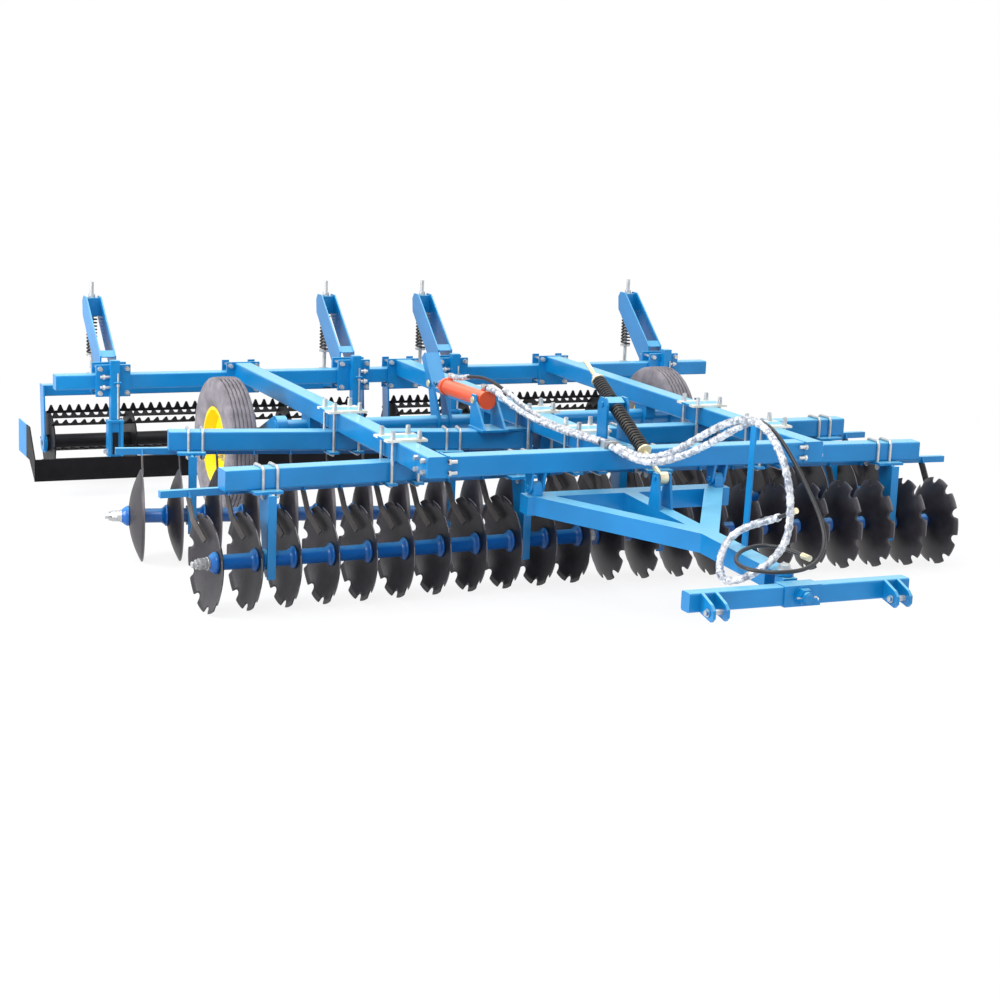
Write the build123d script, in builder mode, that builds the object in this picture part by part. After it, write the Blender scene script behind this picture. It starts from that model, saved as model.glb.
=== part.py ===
"""Trailed disc harrow: four disc gangs under a tubular frame, two lift wheels on a rockshaft,
a sprung drawbar with a cross-bar hitch, and two toothed cage rollers behind.

Millimetres. The hitch is at -Y and the rollers at +Y, +X is to the right seen from the hitch,
+Z is up, and Z = 0 is the ground. In the names, "left" is -X.
"""
import os
from math import cos, hypot, pi, radians, sin, tan

from build123d import *

os.makedirs("parts", exist_ok=True)

# Frame tubes
TUBE = 120.0
TUBE_CORNER = 12.0
FRAME_TOP = 910.0
LONGITUDINAL_X = 1220.0
NOSE_Y = -1270.0
FLANGE_Y = 2430.0
FLANGE_WIDTH = 240.0
FLANGE_HEIGHT = 222.0
FLANGE_THICK = 14.0
CROSS_FLANGE_THICK = 12.0

# Rear beam that carries the rollers
REAR_BEAM = 104.0
REAR_BEAM_HALF = 2550.0
REAR_BEAM_Z = 793.0

# Disc gangs
AXLE_Z = 280.0
DISC_RADIUS = 280.0
DISC_DEPTH = 70.0
DISC_HUB_RADIUS = 70.0
DISC_THICK = 6.0
DISC_COUNT = 11
DISC_PITCH = 230.0
NOTCHED_SIDES = 20
PLAIN_SIDES = 16
NOTCH_COUNT = 10
NOTCH_WIDTH = 50.0
NOTCH_FLOOR = 26.0
NOTCH_DEPTH = 30.0
AXLE = 34.0
BORE = 35.0
SPOOL_SIDES = 10
SPOOL_RADIUS = 44.0
SPOOL_FLARE_RADIUS = 66.0
SPOOL_FLARE_LENGTH = 34.0
END_BELL = (62.0, 40.0, 45.0)
INNER_WASHER_RADIUS = 62.0
WASHER_RADIUS = 38.0
WASHER_THICK = 28.0
NUT_ACROSS = 60.0
NUT_THICK = 50.0
AXLE_END = 24.0
INNER_WASHER = 12.0
INNER_NUT = 20.0
AXIS_BEHIND_BEAM = -100.0
FRONT_BEAM_Y = -615.0
REAR_BEAM_Y = 105.0
FRONT_FIRST_DISC = 133.0
REAR_FIRST_DISC = 180.0
BEAM_INNER = 24.0
BEAM_OUTER = 2310.0

# name, side (-1 left, +1 right), row, angle to the cross direction
GANGS = (
    ("front_left", -1, "front", 3.5),
    ("front_right", 1, "front", 3.5),
    ("rear_left", -1, "rear", 10.0),
    ("rear_right", 1, "rear", 1.0),
)

# Hangers: the spools, counted from the inner end, that carry a bearing
HANGER_SPOOLS = (1, 8)
LEG_WIDTH = 200.0
LEG_THICK = 14.0
LEG_FLANGE = 50.0
LEG_FLANGE_THICK = 10.0
LEG_BOTTOM = 178.0
LEG_OUT = {"front": 100.0, "rear": 156.0}
SEAT_THICK = 16.0
SEAT_LENGTH = 170.0
SEAT_WIDTH = 300.0
SEAT_BACK = 24.0
BEARING_RADIUS = 60.0
BEARING_LENGTH = 60.0

# Scrapers
SCRAPER_BAR = 40.0
SCRAPER_BAR_BACK = 150.0
SCRAPER_BAR_INNER = 60.0
SCRAPER_BAR_OUTER = 2620.0
SCRAPER_THICK = 8.0
SCRAPER_WIDTH = 60.0
SCRAPER_START = (150.0, 630.0)
SCRAPER_TIP = (-20.0, 390.0)
SCRAPER_BEND = 160.0
SCRAPER_OUTSIDE = 18.0
SCRAPER_INSIDE = 28.0

# Clamps over the longitudinals
CLAMP_PLATE_X = 250.0
CLAMP_PLATE_Y = 230.0
CLAMP_THICK = 14.0
STUD_OFF = 82.0
STRAP_WIDTH = 60.0
STRAP_THICK = 14.0

# Rockshaft, lift arms and wheels
SHAFT_Y = 920.0
SHAFT_Z = 706.0
SHAFT_RADIUS = 50.0
SHAFT_HALF = 1470.0
WHEEL_Y = 1478.0
WHEEL_Z = 498.0
WHEEL_X = 1625.0
TYRE_RADIUS = 465.0
TYRE_WIDTH = 212.0
RIM_RADIUS = 262.0
ARM_X = 1430.0
ARM_THICK = 70.0
STUB_RADIUS = 30.0
HUB_RADIUS = 62.0
HUB_HALF = 70.0
RIM_WIDTH = 160.0
BEARING_BLOCK = 70.0
LEVER_X = -300.0
LEVER_Y = 1038.0
LEVER_Z = 953.0
LEVER_GAP = 64.0
LEVER_THICK = 16.0

# Lift cylinder
CAP_Y = 228.0
CAP_Z = 969.0
PIN_RADIUS = 16.0
BARREL_RADIUS = 52.0
ROD_RADIUS = 25.0
EYE_RADIUS = 36.0
EYE_WIDTH = 56.0
BARREL_LENGTH = 640.0
CAP_OVERHANG = 50.0
OPEN_EYE = 7.0
PORT_RADIUS = 17.0
PORT_HEIGHT = 96.0
PORT_PLACES = (16.0, 570.0)
ELBOW_UP = 80.0
ELBOW_RADIUS = 15.0
ELBOW_REACH = 46.0
CHEEK_OFF = 64.0
CHEEK_THICK = 14.0
BASE_Y = 150.0
BASE_LENGTH = 230.0
BASE_THICK = 14.0
TAB_Y = 105.0
TAB_LENGTH = 90.0

# Drawbar and hitch
HINGE_X = 590.0
HINGE_Y = -1210.0
HINGE_Z = 700.0
HINGE_GAP = 62.0
HINGE_PLATE = 14.0
HINGE_PLATE_RADIUS = 32.0
HINGE_PIN_RADIUS = 16.0
EAR_WIDTH = 56.0
EAR_RADIUS = 36.0
DRAWBAR_LEVEL = -152.0
DRAWBAR_DROP = 2.2
DRAWBAR_TUBE = 108.0
DRAWBAR_HALF = 655.0
BRACE = 90.0
KINK_Y = -2190.0
TONGUE_PIN_Y = -2975.0
TONGUE_PIN_RADIUS = 20.0
YOKE_RADIUS = 50.0
YOKE_THICK = 16.0
SWIVEL_RADIUS = 46.0
NECK_START = 57.0
NECK_WIDTH = 80.0
NECK_HEIGHT = 70.0
SPINDLE_RADIUS = 30.0
POST_FORWARD = 1262.0
HOSE_POST_WIDTH = 50.0
HOSE_POST_THICK = 10.0
HOSE_POST_HEIGHT = 741.0
HOSE_REST = 64.0
HITCH_BAR_Y = -3110.0
HITCH_BAR_Z = 506.0
HITCH_BAR_DEPTH = 84.0
HITCH_BAR_HEIGHT = 100.0
HITCH_BAR_HALF = 640.0
HITCH_PIN_Y = -3232.0
HITCH_PIN_RADIUS = 14.0
CLEVIS_X = 530.0
CLEVIS_GAP = 62.0
CLEVIS_PLATE = 16.0
WRAP_HALF = 105.0
WRAP_THICK = 10.0

# Levelling rod
TRUNNION_Y = -985.0
TRUNNION_Z = 1128.0
LEVEL_PIN_Y = -1627.0
LEVEL_PIN_Z = 810.0
LEVEL_ROD_RADIUS = 14.0
LEVEL_ROD_LENGTH = 1160.0
LEVEL_PIN_RADIUS = 14.0
LEVEL_OPEN = 3.0
LEVEL_GAP = 60.0
LEVEL_PLATE = 14.0
LUG_THICK = 14.0
TRUNNION_RADIUS = 18.0
TRUNNION_BLOCK = 60.0
# Each spring's start and end: the lower from the rod's eye to below the block, the upper from the block
LOWER_SPRING = (262.0, 34.0)
UPPER_SPRING = (34.0, 234.0)
SPRING_SEAT = 12.0
LEVEL_SPRING_RADIUS = 42.0
LEVEL_TURNS = 7

# Rear masts, rollers and levelling boards
MAST_X = (-2157.0, -388.0, 388.0, 2157.0)
MAST_TOP_Y = 3080.0
MAST_TOP_Z = 1300.0
MAST_CLAMP = 28.0
MAST_CLAMP_WIDTH = 240.0
MAST_OFF = 52.0
MAST_PLATE = 10.0
ARM_PIVOT_Y = 2650.0
ARM_PIVOT_Z = 730.0
DOWN_ROD_RADIUS = 14.0
DOWN_ROD_TOP = 1420.0
DOWN_SPRING_RADIUS = 40.0
DOWN_FOOT = 60.0
DOWN_FOOT_Z = 724.0
SPRING_LOW = 900.0
SPRING_HIGH = 1180.0
ROLLER_TUBE = 80.0
ROLLER_TUBE_Y = 3060.0
ROLLER_TUBE_Z = 650.0
ROLLER_ARM = 60.0
END_GAP = 12.0
END_THICK = 12.0
ROLLER_Y = 3005.0
ROLLER_RADIUS = 275.0
ROLLER_X = 1310.0
ROLLER_HALF = 1190.0
ROLLER_STUB = 22.0
ROLLER_CORE = 60.0
ROLLER_PLATES = 5
ROLLER_PLATE_RADIUS = 226.0
ROLLER_BARS = 8
TOOTH_PITCH = 88.0
TOOTH_HEIGHT = 48.0
TOOTH_BACK = 14.0
TOOTH_THICK = 10.0
BOARD_THICK = 14.0
BOARD_BOTTOM = 128.0
BOARD_TOP = 280.0
BOARD_OUTER = 2720.0
BOARD_INNER = 45.0
POST = 62.0
POST_Y = 2385.0
POST_TOP = 952.0
POST_BOTTOM = 132.0
SIDE_PLATE_THICK = 8.0
SIDE_PLATE_FRONT = 2520.0
SIDE_PLATE_BACK = 2890.0
SIDE_PLATE_TOP = 480.0
SIDE_PLATE_BOTTOM = 250.0

# Hydraulic hoses, joined by unions in a clamp on the front cross beam
HOSE = 22.0
UNION_X = (-105.0, -148.0)
UNION_Z = 928.0
UNION_RADIUS = 15.0
UNION_LENGTH = 70.0
UNION_CLAMP = (96.0, 50.0)
COUPLING_RADIUS = 16.0
COUPLING_LENGTH = 62.0

# Each hose's points between its two straight ends. The rear hoses run from the cylinder's ports to the
# unions, and the front ones from the unions over the post's top to their couplings.
ROD_REAR = (
    (-299, 610, 1052), (-287, 490, 1078), (-260, 345, 1092), (-230, 190, 1070), (-206, 30, 1026),
    (-176, -140, 965), (-158, -320, 935), (-150, -510, 926), (-150, -720, 928), (-142, -900, 932),
    (-118, -1020, 930), (-105, -1105, 928),
)
CAP_REAR = (
    (-298, 50, 1045), (-284, -80, 1010), (-254, -220, 968), (-220, -380, 938), (-194, -560, 928),
    (-187, -760, 926), (-176, -920, 931), (-158, -1030, 930), (-148, -1105, 928),
)
ROD_FRONT = (
    (-105, -1315, 928), (-92, -1440, 913), (-65, -1580, 917), (-35, -1720, 958), (-5, -1870, 1035),
    (20, -2020, 1120), (44, -2175, 1202), (60, -2315, 1255), (68, -2430, 1274), (74, -2545, 1266),
    (84, -2650, 1212), (91, -2740, 1125), (94, -2805, 1020), (94, -2838, 915), (88, -2857, 815),
    (55, -2885, 720),
    (-20, -2920, 655), (-100, -2930, 600), (-175, -2900, 550), (-220, -2820, 510), (-215, -2720, 500),
    (-175, -2620, 530), (-120, -2540, 595), (-50, -2500, 665), (30, -2510, 715), (90, -2580, 755),
    (130, -2670, 795), (142, -2755, 835),
)
CAP_FRONT = (
    (-148, -1315, 928), (-133, -1450, 906), (-105, -1600, 898), (-70, -1750, 925), (-30, -1895, 985),
    (9, -2048, 1061), (54, -2195, 1150), (84, -2325, 1228), (100, -2432, 1271), (107, -2545, 1268),
    (122, -2650, 1215), (145, -2740, 1130), (169, -2825, 1030), (190, -2905, 930), (203, -2975, 835),
    (194, -3035, 745),
    (140, -3075, 660), (40, -3105, 625), (-70, -3115, 620), (-165, -3065, 615), (-215, -2970, 610),
    (-210, -2860, 610), (-165, -2760, 620), (-85, -2690, 640), (15, -2675, 655), (95, -2720, 655),
    (138, -2810, 650), (148, -2900, 645),
)

# Radial clearance of a part that turns or slides in another
RUNNING_FIT = 0.05

class GangLine:
    """One gang's own directions: out along the axle, back behind it, and up."""

    def __init__(self, gang):
        self.name, self.side, self.row, angle = gang
        turn = radians(angle if self.row == "rear" else -angle)
        self.front = self.row == "front"
        self.out = Vector(self.side * cos(turn), sin(turn), 0)
        self.back = Vector(-self.side * sin(turn), cos(turn), 0)
        self.origin = Vector(0, FRONT_BEAM_Y if self.front else REAR_BEAM_Y, 0)
        self.first = FRONT_FIRST_DISC if self.front else REAR_FIRST_DISC
        # A front disc's hollow faces out and its hub lies inside its rim; a rear disc's the other way
        self.dish = -1 if self.front else 1

    def point(self, out, back=0.0, up=0.0):
        return self.origin + self.out * out + self.back * back + Vector(0, 0, up)

    def section(self, out):
        """A plane across the gang, with its normal outwards."""
        return Plane(origin=self.point(out), x_dir=self.back * self.side, z_dir=self.out)

    def spot(self, back, up):
        """A place in such a plane."""
        return (self.side * back, up)

    def axle(self, out):
        """A plane across the gang, centred on the axle."""
        origin = self.point(out, AXIS_BEHIND_BEAM, AXLE_Z)
        return Plane(origin=origin, x_dir=self.back * self.side, z_dir=self.out)

    def rim(self, index):
        return self.first + index * DISC_PITCH

    def hub(self, index):
        """Where the hub's flat starts and ends along the axle."""
        far = self.rim(index) + self.dish * DISC_DEPTH
        near = far - self.dish * DISC_THICK
        return min(far, near), max(far, near)

    def leg(self, index):
        """Where the hanger on one spool stands along the axle."""
        return self.rim(index) + LEG_OUT[self.row]

    def at_x(self, x):
        """The place along the beam that lies under a lengthwise tube."""
        return abs(x / self.out.X)


LINES = [GangLine(gang) for gang in GANGS]
ROWS = {row: [line for line in LINES if line.row == row] for row in ("front", "rear")}


def bar(plane, width, height, length, corner=TUBE_CORNER):
    """A square tube's outer form, run along the plane's normal."""
    with BuildSketch(plane) as section:
        RectangleRounded(width, height, corner)
    extrude(section.sketch, amount=length)


def across(x):
    """A plane whose sketch shows Y to the right and Z up, at one place across the machine."""
    return Plane(origin=(x, 0, 0), x_dir=(0, 1, 0), z_dir=(1, 0, 0))


def plate(x, thick, points):
    """A flat plate that stands lengthwise, from its outline in Y and Z."""
    with BuildSketch(across(x - thick / 2)) as section:
        with BuildLine():
            Polyline(*points, close=True)
        make_face()
    extrude(section.sketch, amount=thick)


def rod(x, y, z, radius, length, mode=Mode.ADD):
    """A round bar across the machine, centred on one place."""
    with BuildSketch(across(x - length / 2)) as section:
        with Locations((y, z)):
            Circle(radius)
    extrude(section.sketch, amount=length, mode=mode)


def block(center, size):
    with Locations(center):
        Box(*size)


def save(made, name):
    made.part.label = name
    export_step(made.part, f"parts/{name}.step")


TUBE_Z = FRAME_TOP - TUBE / 2
TUBE_BOTTOM = FRAME_TOP - TUBE
GANG_BEAM_Z = TUBE_BOTTOM - TUBE / 2
GANG_BEAM_BOTTOM = TUBE_BOTTOM - TUBE
CROSS_BACK_Y = NOSE_Y + TUBE
FLANGE_Z = FRAME_TOP + 5 - FLANGE_HEIGHT / 2


def longitudinal(name, x, front_y):
    with BuildPart() as made:
        lengthwise = Plane(origin=(x, front_y, TUBE_Z), x_dir=(-1, 0, 0), z_dir=(0, 1, 0))
        bar(lengthwise, TUBE, TUBE, FLANGE_Y - front_y)
        block((x, FLANGE_Y + FLANGE_THICK / 2, FLANGE_Z), (FLANGE_WIDTH, FLANGE_THICK, FLANGE_HEIGHT))
    save(made, name)


longitudinal("longitudinal_left", -LONGITUDINAL_X, NOSE_Y)
longitudinal("longitudinal_centre", 0, CROSS_BACK_Y)
longitudinal("longitudinal_right", LONGITUDINAL_X, NOSE_Y)

# Front cross beam, bolted between the outer noses, with the drawbar's hinge plates below it
CROSS_HALF = LONGITUDINAL_X - TUBE / 2
CROSS_Y = NOSE_Y + TUBE / 2
with BuildPart() as front_cross_beam:
    crosswise = Plane(origin=(-CROSS_HALF, CROSS_Y, TUBE_Z), x_dir=(0, 1, 0), z_dir=(1, 0, 0))
    bar(crosswise, TUBE, TUBE, 2 * CROSS_HALF)
    for side in (-1, 1):
        x = side * (CROSS_HALF - CROSS_FLANGE_THICK / 2)
        block((x, CROSS_Y, TUBE_Z), (CROSS_FLANGE_THICK, TUBE + 6, TUBE + 6))
        for edge in (-1, 1):
            x = side * HINGE_X + edge * (HINGE_GAP + HINGE_PLATE) / 2
            with BuildSketch(across(x - HINGE_PLATE / 2)):
                with Locations((HINGE_Y, HINGE_Z)):
                    Circle(HINGE_PLATE_RADIUS)
                with Locations((CROSS_Y, TUBE_BOTTOM)):
                    Rectangle(104, 8)
                make_hull()
            extrude(amount=HINGE_PLATE)
        rod(side * HINGE_X, HINGE_Y, HINGE_Z, HINGE_PIN_RADIUS, HINGE_GAP + 2 * HINGE_PLATE + 24)
save(front_cross_beam, "front_cross_beam")

with BuildPart() as rear_beam:
    beam_y = FLANGE_Y + FLANGE_THICK + REAR_BEAM / 2
    crosswise = Plane(origin=(-REAR_BEAM_HALF, beam_y, REAR_BEAM_Z), x_dir=(0, 1, 0), z_dir=(1, 0, 0))
    bar(crosswise, REAR_BEAM, REAR_BEAM, 2 * REAR_BEAM_HALF)
save(rear_beam, "rear_beam")

# Gang beams, with their hangers, scrapers and clamps, one node of each kind to a row
for row, lines in ROWS.items():
    with BuildPart() as beams:
        for line in lines:
            start = line.section(BEAM_INNER)
            with BuildSketch(start):
                with Locations(line.spot(0, GANG_BEAM_Z)):
                    RectangleRounded(TUBE, TUBE, TUBE_CORNER)
            extrude(amount=BEAM_OUTER - BEAM_INNER)
    save(beams, f"gang_beams_{row}")

    with BuildPart() as hangers:
        for line in lines:
            for index in HANGER_SPOOLS:
                out = line.leg(index)
                with BuildSketch(line.section(out - SEAT_LENGTH / 2)):
                    with Locations(line.spot(SEAT_BACK, GANG_BEAM_BOTTOM - SEAT_THICK / 2)):
                        Rectangle(SEAT_WIDTH, SEAT_THICK)
                extrude(amount=SEAT_LENGTH)
                seat = GANG_BEAM_BOTTOM - SEAT_THICK
                front = AXIS_BEHIND_BEAM - BEARING_RADIUS - 10
                outline = (
                    (front, seat + 2),
                    (front, LEG_BOTTOM),
                    (front + 70, LEG_BOTTOM),
                    (AXIS_BEHIND_BEAM + BEARING_RADIUS, AXLE_Z - 40),
                    (AXIS_BEHIND_BEAM + BEARING_RADIUS, AXLE_Z + 60),
                    (front + LEG_WIDTH, seat + 2),
                )
                with BuildSketch(line.section(out - LEG_THICK / 2)):
                    with BuildLine():
                        Polyline(*[line.spot(*corner) for corner in outline], close=True)
                    make_face()
                extrude(amount=LEG_THICK)
                with BuildSketch(line.section(out - LEG_FLANGE / 2)):
                    with Locations(line.spot(front - LEG_FLANGE_THICK / 2 + 1, (LEG_BOTTOM + seat + 2) / 2)):
                        Rectangle(LEG_FLANGE_THICK, seat + 2 - LEG_BOTTOM)
                extrude(amount=LEG_FLANGE)
                with BuildSketch(line.axle(out - BEARING_LENGTH / 2)):
                    Circle(BEARING_RADIUS)
                extrude(amount=BEARING_LENGTH)
                with BuildSketch(line.axle(out - BEARING_LENGTH)):
                    Circle(SPOOL_RADIUS + RUNNING_FIT)
                extrude(amount=2 * BEARING_LENGTH, mode=Mode.SUBTRACT)
    save(hangers, f"hangers_{row}")

    with BuildPart() as scrapers:
        for line in lines:
            bar_top = GANG_BEAM_BOTTOM - SEAT_THICK
            with BuildSketch(line.section(SCRAPER_BAR_INNER)):
                with Locations(line.spot(SCRAPER_BAR_BACK, bar_top - SCRAPER_BAR / 2)):
                    Rectangle(SCRAPER_BAR, SCRAPER_BAR)
            extrude(amount=SCRAPER_BAR_OUTER - SCRAPER_BAR_INNER)
            for index in range(DISC_COUNT):
                # The blade runs down and forwards from the bar, past the rim and into the disc's hollow
                away = -line.dish
                stem = line.rim(index) + away * SCRAPER_OUTSIDE
                tip = line.rim(index) - away * SCRAPER_INSIDE
                start = line.point(0, *SCRAPER_START)
                run = line.point(0, *SCRAPER_TIP) - start
                outline = (
                    (stem, 0),
                    (stem, SCRAPER_BEND),
                    (tip, run.length),
                    (tip + away * SCRAPER_THICK, run.length),
                    (stem + away * SCRAPER_THICK, SCRAPER_BEND),
                    (stem + away * SCRAPER_THICK, 0),
                )
                facing = line.out.cross(run).normalized()
                edge = start - facing * (SCRAPER_WIDTH / 2)
                with BuildSketch(Plane(origin=edge, x_dir=line.out, z_dir=facing)):
                    with BuildLine():
                        Polyline(*outline, close=True)
                    make_face()
                extrude(amount=SCRAPER_WIDTH)
    save(scrapers, f"scrapers_{row}")

    with BuildPart() as clamps:
        for x in (-LONGITUDINAL_X, 0, LONGITUDINAL_X):
            line = lines[0] if x < 0 else lines[1]
            y = line.point(line.at_x(x)).Y
            block((x, y, FRAME_TOP + CLAMP_THICK / 2), (CLAMP_PLATE_X, CLAMP_PLATE_Y, CLAMP_THICK))
            for edge in (-1, 1):
                spot = (x + edge * STUD_OFF, y, GANG_BEAM_BOTTOM - STRAP_THICK / 2)
                block(spot, (STRAP_WIDTH, CLAMP_PLATE_Y, STRAP_THICK))
    save(clamps, f"clamps_{row}")


def disc(notched, dish, sides):
    """A dished disc about Z, its rim at 0 and its hub DISC_DEPTH away on the dish's side."""
    with BuildPart() as shell:
        for lift, mode in ((0, Mode.ADD), (-dish * DISC_THICK, Mode.SUBTRACT)):
            with BuildSketch(Plane.XY.offset(lift)):
                RegularPolygon(DISC_RADIUS, sides)
            with BuildSketch(Plane.XY.offset(lift + dish * DISC_DEPTH)):
                RegularPolygon(DISC_HUB_RADIUS, sides)
            loft(ruled=True, mode=mode)
        with BuildSketch(Plane.XY.offset(-2 * DISC_DEPTH)):
            Rectangle(BORE, BORE)
        extrude(amount=4 * DISC_DEPTH, mode=Mode.SUBTRACT)
        if notched:
            with BuildSketch(Plane.XY.offset(-2 * DISC_DEPTH)):
                with PolarLocations(DISC_RADIUS, NOTCH_COUNT, start_angle=180 / sides):
                    with BuildLine():
                        Polyline(
                            (9, -NOTCH_WIDTH / 2 - 8),
                            (-NOTCH_DEPTH, -NOTCH_FLOOR / 2),
                            (-NOTCH_DEPTH, NOTCH_FLOOR / 2),
                            (9, NOTCH_WIDTH / 2 + 8),
                            close=True,
                        )
                    make_face()
            extrude(amount=4 * DISC_DEPTH, mode=Mode.SUBTRACT)
    return shell.part


PATTERNS = {"front": disc(True, -1, NOTCHED_SIDES), "rear": disc(False, 1, PLAIN_SIDES)}


def bell(line, start, wide, narrow, length):
    with BuildSketch(line.axle(start)) as near:
        RegularPolygon(wide, SPOOL_SIDES)
    with BuildSketch(line.axle(start + length)) as far:
        RegularPolygon(narrow, SPOOL_SIDES)
    loft([near.sketch, far.sketch], ruled=True)


def spool(line, start, end, journal):
    """One spool between two discs, with its bell at the inner end."""
    with BuildSketch(line.axle(start + SPOOL_FLARE_LENGTH)) as section:
        if journal:
            Circle(SPOOL_RADIUS)
        else:
            RegularPolygon(SPOOL_RADIUS, SPOOL_SIDES)
    extrude(section.sketch, amount=end - start - SPOOL_FLARE_LENGTH)
    bell(line, start, SPOOL_FLARE_RADIUS, SPOOL_RADIUS, SPOOL_FLARE_LENGTH)


for line in LINES:
    with BuildPart() as discs:
        with Locations([line.axle(line.rim(index)) for index in range(DISC_COUNT)]):
            add(PATTERNS[line.row])
    save(discs, f"discs_{line.name}")

    with BuildPart() as spools:
        low = line.hub(0)[0]
        high = line.hub(DISC_COUNT - 1)[1]
        with BuildSketch(line.axle(low - INNER_WASHER - INNER_NUT)):
            Rectangle(AXLE, AXLE)
        stack = high + END_BELL[2]
        outer_end = stack + WASHER_THICK + NUT_THICK + AXLE_END
        extrude(amount=outer_end - low + INNER_WASHER + INNER_NUT)
        for index in range(DISC_COUNT - 1):
            spool(line, line.hub(index)[1], line.hub(index + 1)[0], index in HANGER_SPOOLS)
        bell(line, high, *END_BELL)
        for washer, radius, washer_thick, nut, nut_thick in (
            (low - INNER_WASHER, INNER_WASHER_RADIUS, INNER_WASHER, low - INNER_WASHER - INNER_NUT, INNER_NUT),
            (stack, WASHER_RADIUS, WASHER_THICK, stack + WASHER_THICK, NUT_THICK),
        ):
            with BuildSketch(line.axle(washer)):
                RegularPolygon(radius, 16)
            extrude(amount=washer_thick)
            with BuildSketch(line.axle(nut)):
                RegularPolygon(NUT_ACROSS / 2, 6, major_radius=False)
            extrude(amount=nut_thick)
    save(spools, f"spools_{line.name}")

# Rockshaft in its bearings, with the lift arms, stub axles and the cylinder's lever
with BuildPart() as shaft_bearings:
    for x in (-LONGITUDINAL_X, 0, LONGITUDINAL_X):
        with BuildSketch(across(x - BEARING_BLOCK / 2)):
            with Locations((SHAFT_Y, SHAFT_Z)):
                Circle(SHAFT_RADIUS + 20)
            with Locations((SHAFT_Y, (SHAFT_Z + TUBE_BOTTOM) / 2)):
                Rectangle(2 * SHAFT_RADIUS + 70, TUBE_BOTTOM - SHAFT_Z)
            with Locations((SHAFT_Y, SHAFT_Z)):
                Circle(SHAFT_RADIUS + RUNNING_FIT, mode=Mode.SUBTRACT)
        extrude(amount=BEARING_BLOCK)
save(shaft_bearings, "shaft_bearings")

with BuildPart() as rockshaft:
    rod(0, SHAFT_Y, SHAFT_Z, SHAFT_RADIUS, 2 * SHAFT_HALF)
    for side in (-1, 1):
        x = side * ARM_X
        with BuildSketch(across(x - ARM_THICK / 2)):
            with Locations((SHAFT_Y, SHAFT_Z)):
                Circle(SHAFT_RADIUS + 28)
            with Locations((WHEEL_Y, WHEEL_Z)):
                Circle(STUB_RADIUS + 26)
            make_hull()
        extrude(amount=ARM_THICK)
        stub_end = side * (WHEEL_X + 90)
        rod((x + stub_end) / 2, WHEEL_Y, WHEEL_Z, STUB_RADIUS, abs(stub_end - x))
        collar = side * (WHEEL_X - HUB_HALF - 12)
        rod((x + collar) / 2, WHEEL_Y, WHEEL_Z, STUB_RADIUS + 14, abs(collar - x))
    for edge in (-1, 1):
        x = LEVER_X + edge * (LEVER_GAP + LEVER_THICK) / 2
        with BuildSketch(across(x - LEVER_THICK / 2)):
            with Locations((SHAFT_Y, SHAFT_Z)):
                Circle(SHAFT_RADIUS + 22)
            with Locations((LEVER_Y, LEVER_Z)):
                Circle(36)
            make_hull()
        extrude(amount=LEVER_THICK)
    rod(LEVER_X, LEVER_Y, LEVER_Z, PIN_RADIUS, LEVER_GAP + 2 * LEVER_THICK + 20)
save(rockshaft, "rockshaft")

# Wheels: steel rims with hubs, and ribbed tyres
for name, side in (("left", -1), ("right", 1)):
    x = side * WHEEL_X
    center = Plane(origin=(x, WHEEL_Y, WHEEL_Z), x_dir=(side, 0, 0), z_dir=(0, -side, 0))
    spin = Axis((x, WHEEL_Y, WHEEL_Z), (1, 0, 0))
    with BuildPart() as rim:
        with BuildSketch(center):
            with BuildLine():
                Polyline(
                    (-HUB_HALF, STUB_RADIUS + RUNNING_FIT),
                    (-HUB_HALF, HUB_RADIUS),
                    (-5, HUB_RADIUS),
                    (-5, RIM_RADIUS - 30),
                    (-RIM_WIDTH / 2, RIM_RADIUS - 22),
                    (-RIM_WIDTH / 2, RIM_RADIUS),
                    (RIM_WIDTH / 2, RIM_RADIUS),
                    (RIM_WIDTH / 2, RIM_RADIUS - 22),
                    (7, RIM_RADIUS - 30),
                    (7, HUB_RADIUS),
                    (HUB_HALF, HUB_RADIUS),
                    (HUB_HALF, STUB_RADIUS + RUNNING_FIT),
                    close=True,
                )
            make_face()
        revolve(axis=spin)
    save(rim, f"rim_{name}")
    with BuildPart() as tyre:
        with BuildSketch(center):
            with BuildLine():
                half = TYRE_WIDTH / 2
                Polyline(
                    (-RIM_WIDTH / 2 + 4, RIM_RADIUS),
                    (-half, RIM_RADIUS + 84),
                    (-half + 20, TYRE_RADIUS - 22),
                    (-half + 46, TYRE_RADIUS),
                    (half - 46, TYRE_RADIUS),
                    (half - 20, TYRE_RADIUS - 22),
                    (half, RIM_RADIUS + 84),
                    (RIM_WIDTH / 2 - 4, RIM_RADIUS),
                    close=True,
                )
            make_face()
        revolve(axis=spin)
    save(tyre, f"tyre_{name}")

# Lift cylinder and its bracket beside the centre tube
REACH = hypot(LEVER_Y - CAP_Y, LEVER_Z - CAP_Z)
STROKE_DIRECTION = Vector(0, (LEVER_Y - CAP_Y) / REACH, (LEVER_Z - CAP_Z) / REACH)
CAP_POINT = Vector(LEVER_X, CAP_Y, CAP_Z)


def along_cylinder(distance):
    """A plane across the cylinder, a distance behind its rear pivot."""
    return Plane(origin=CAP_POINT + STROKE_DIRECTION * distance, x_dir=(1, 0, 0), z_dir=STROKE_DIRECTION)


PORT_UP = STROKE_DIRECTION.cross(Vector(-1, 0, 0))


def elbow_face(distance):
    """The middle of the face where a hose leaves one port's elbow, towards the hitch."""
    return CAP_POINT + STROKE_DIRECTION * (distance - ELBOW_REACH) + PORT_UP * ELBOW_UP


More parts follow.
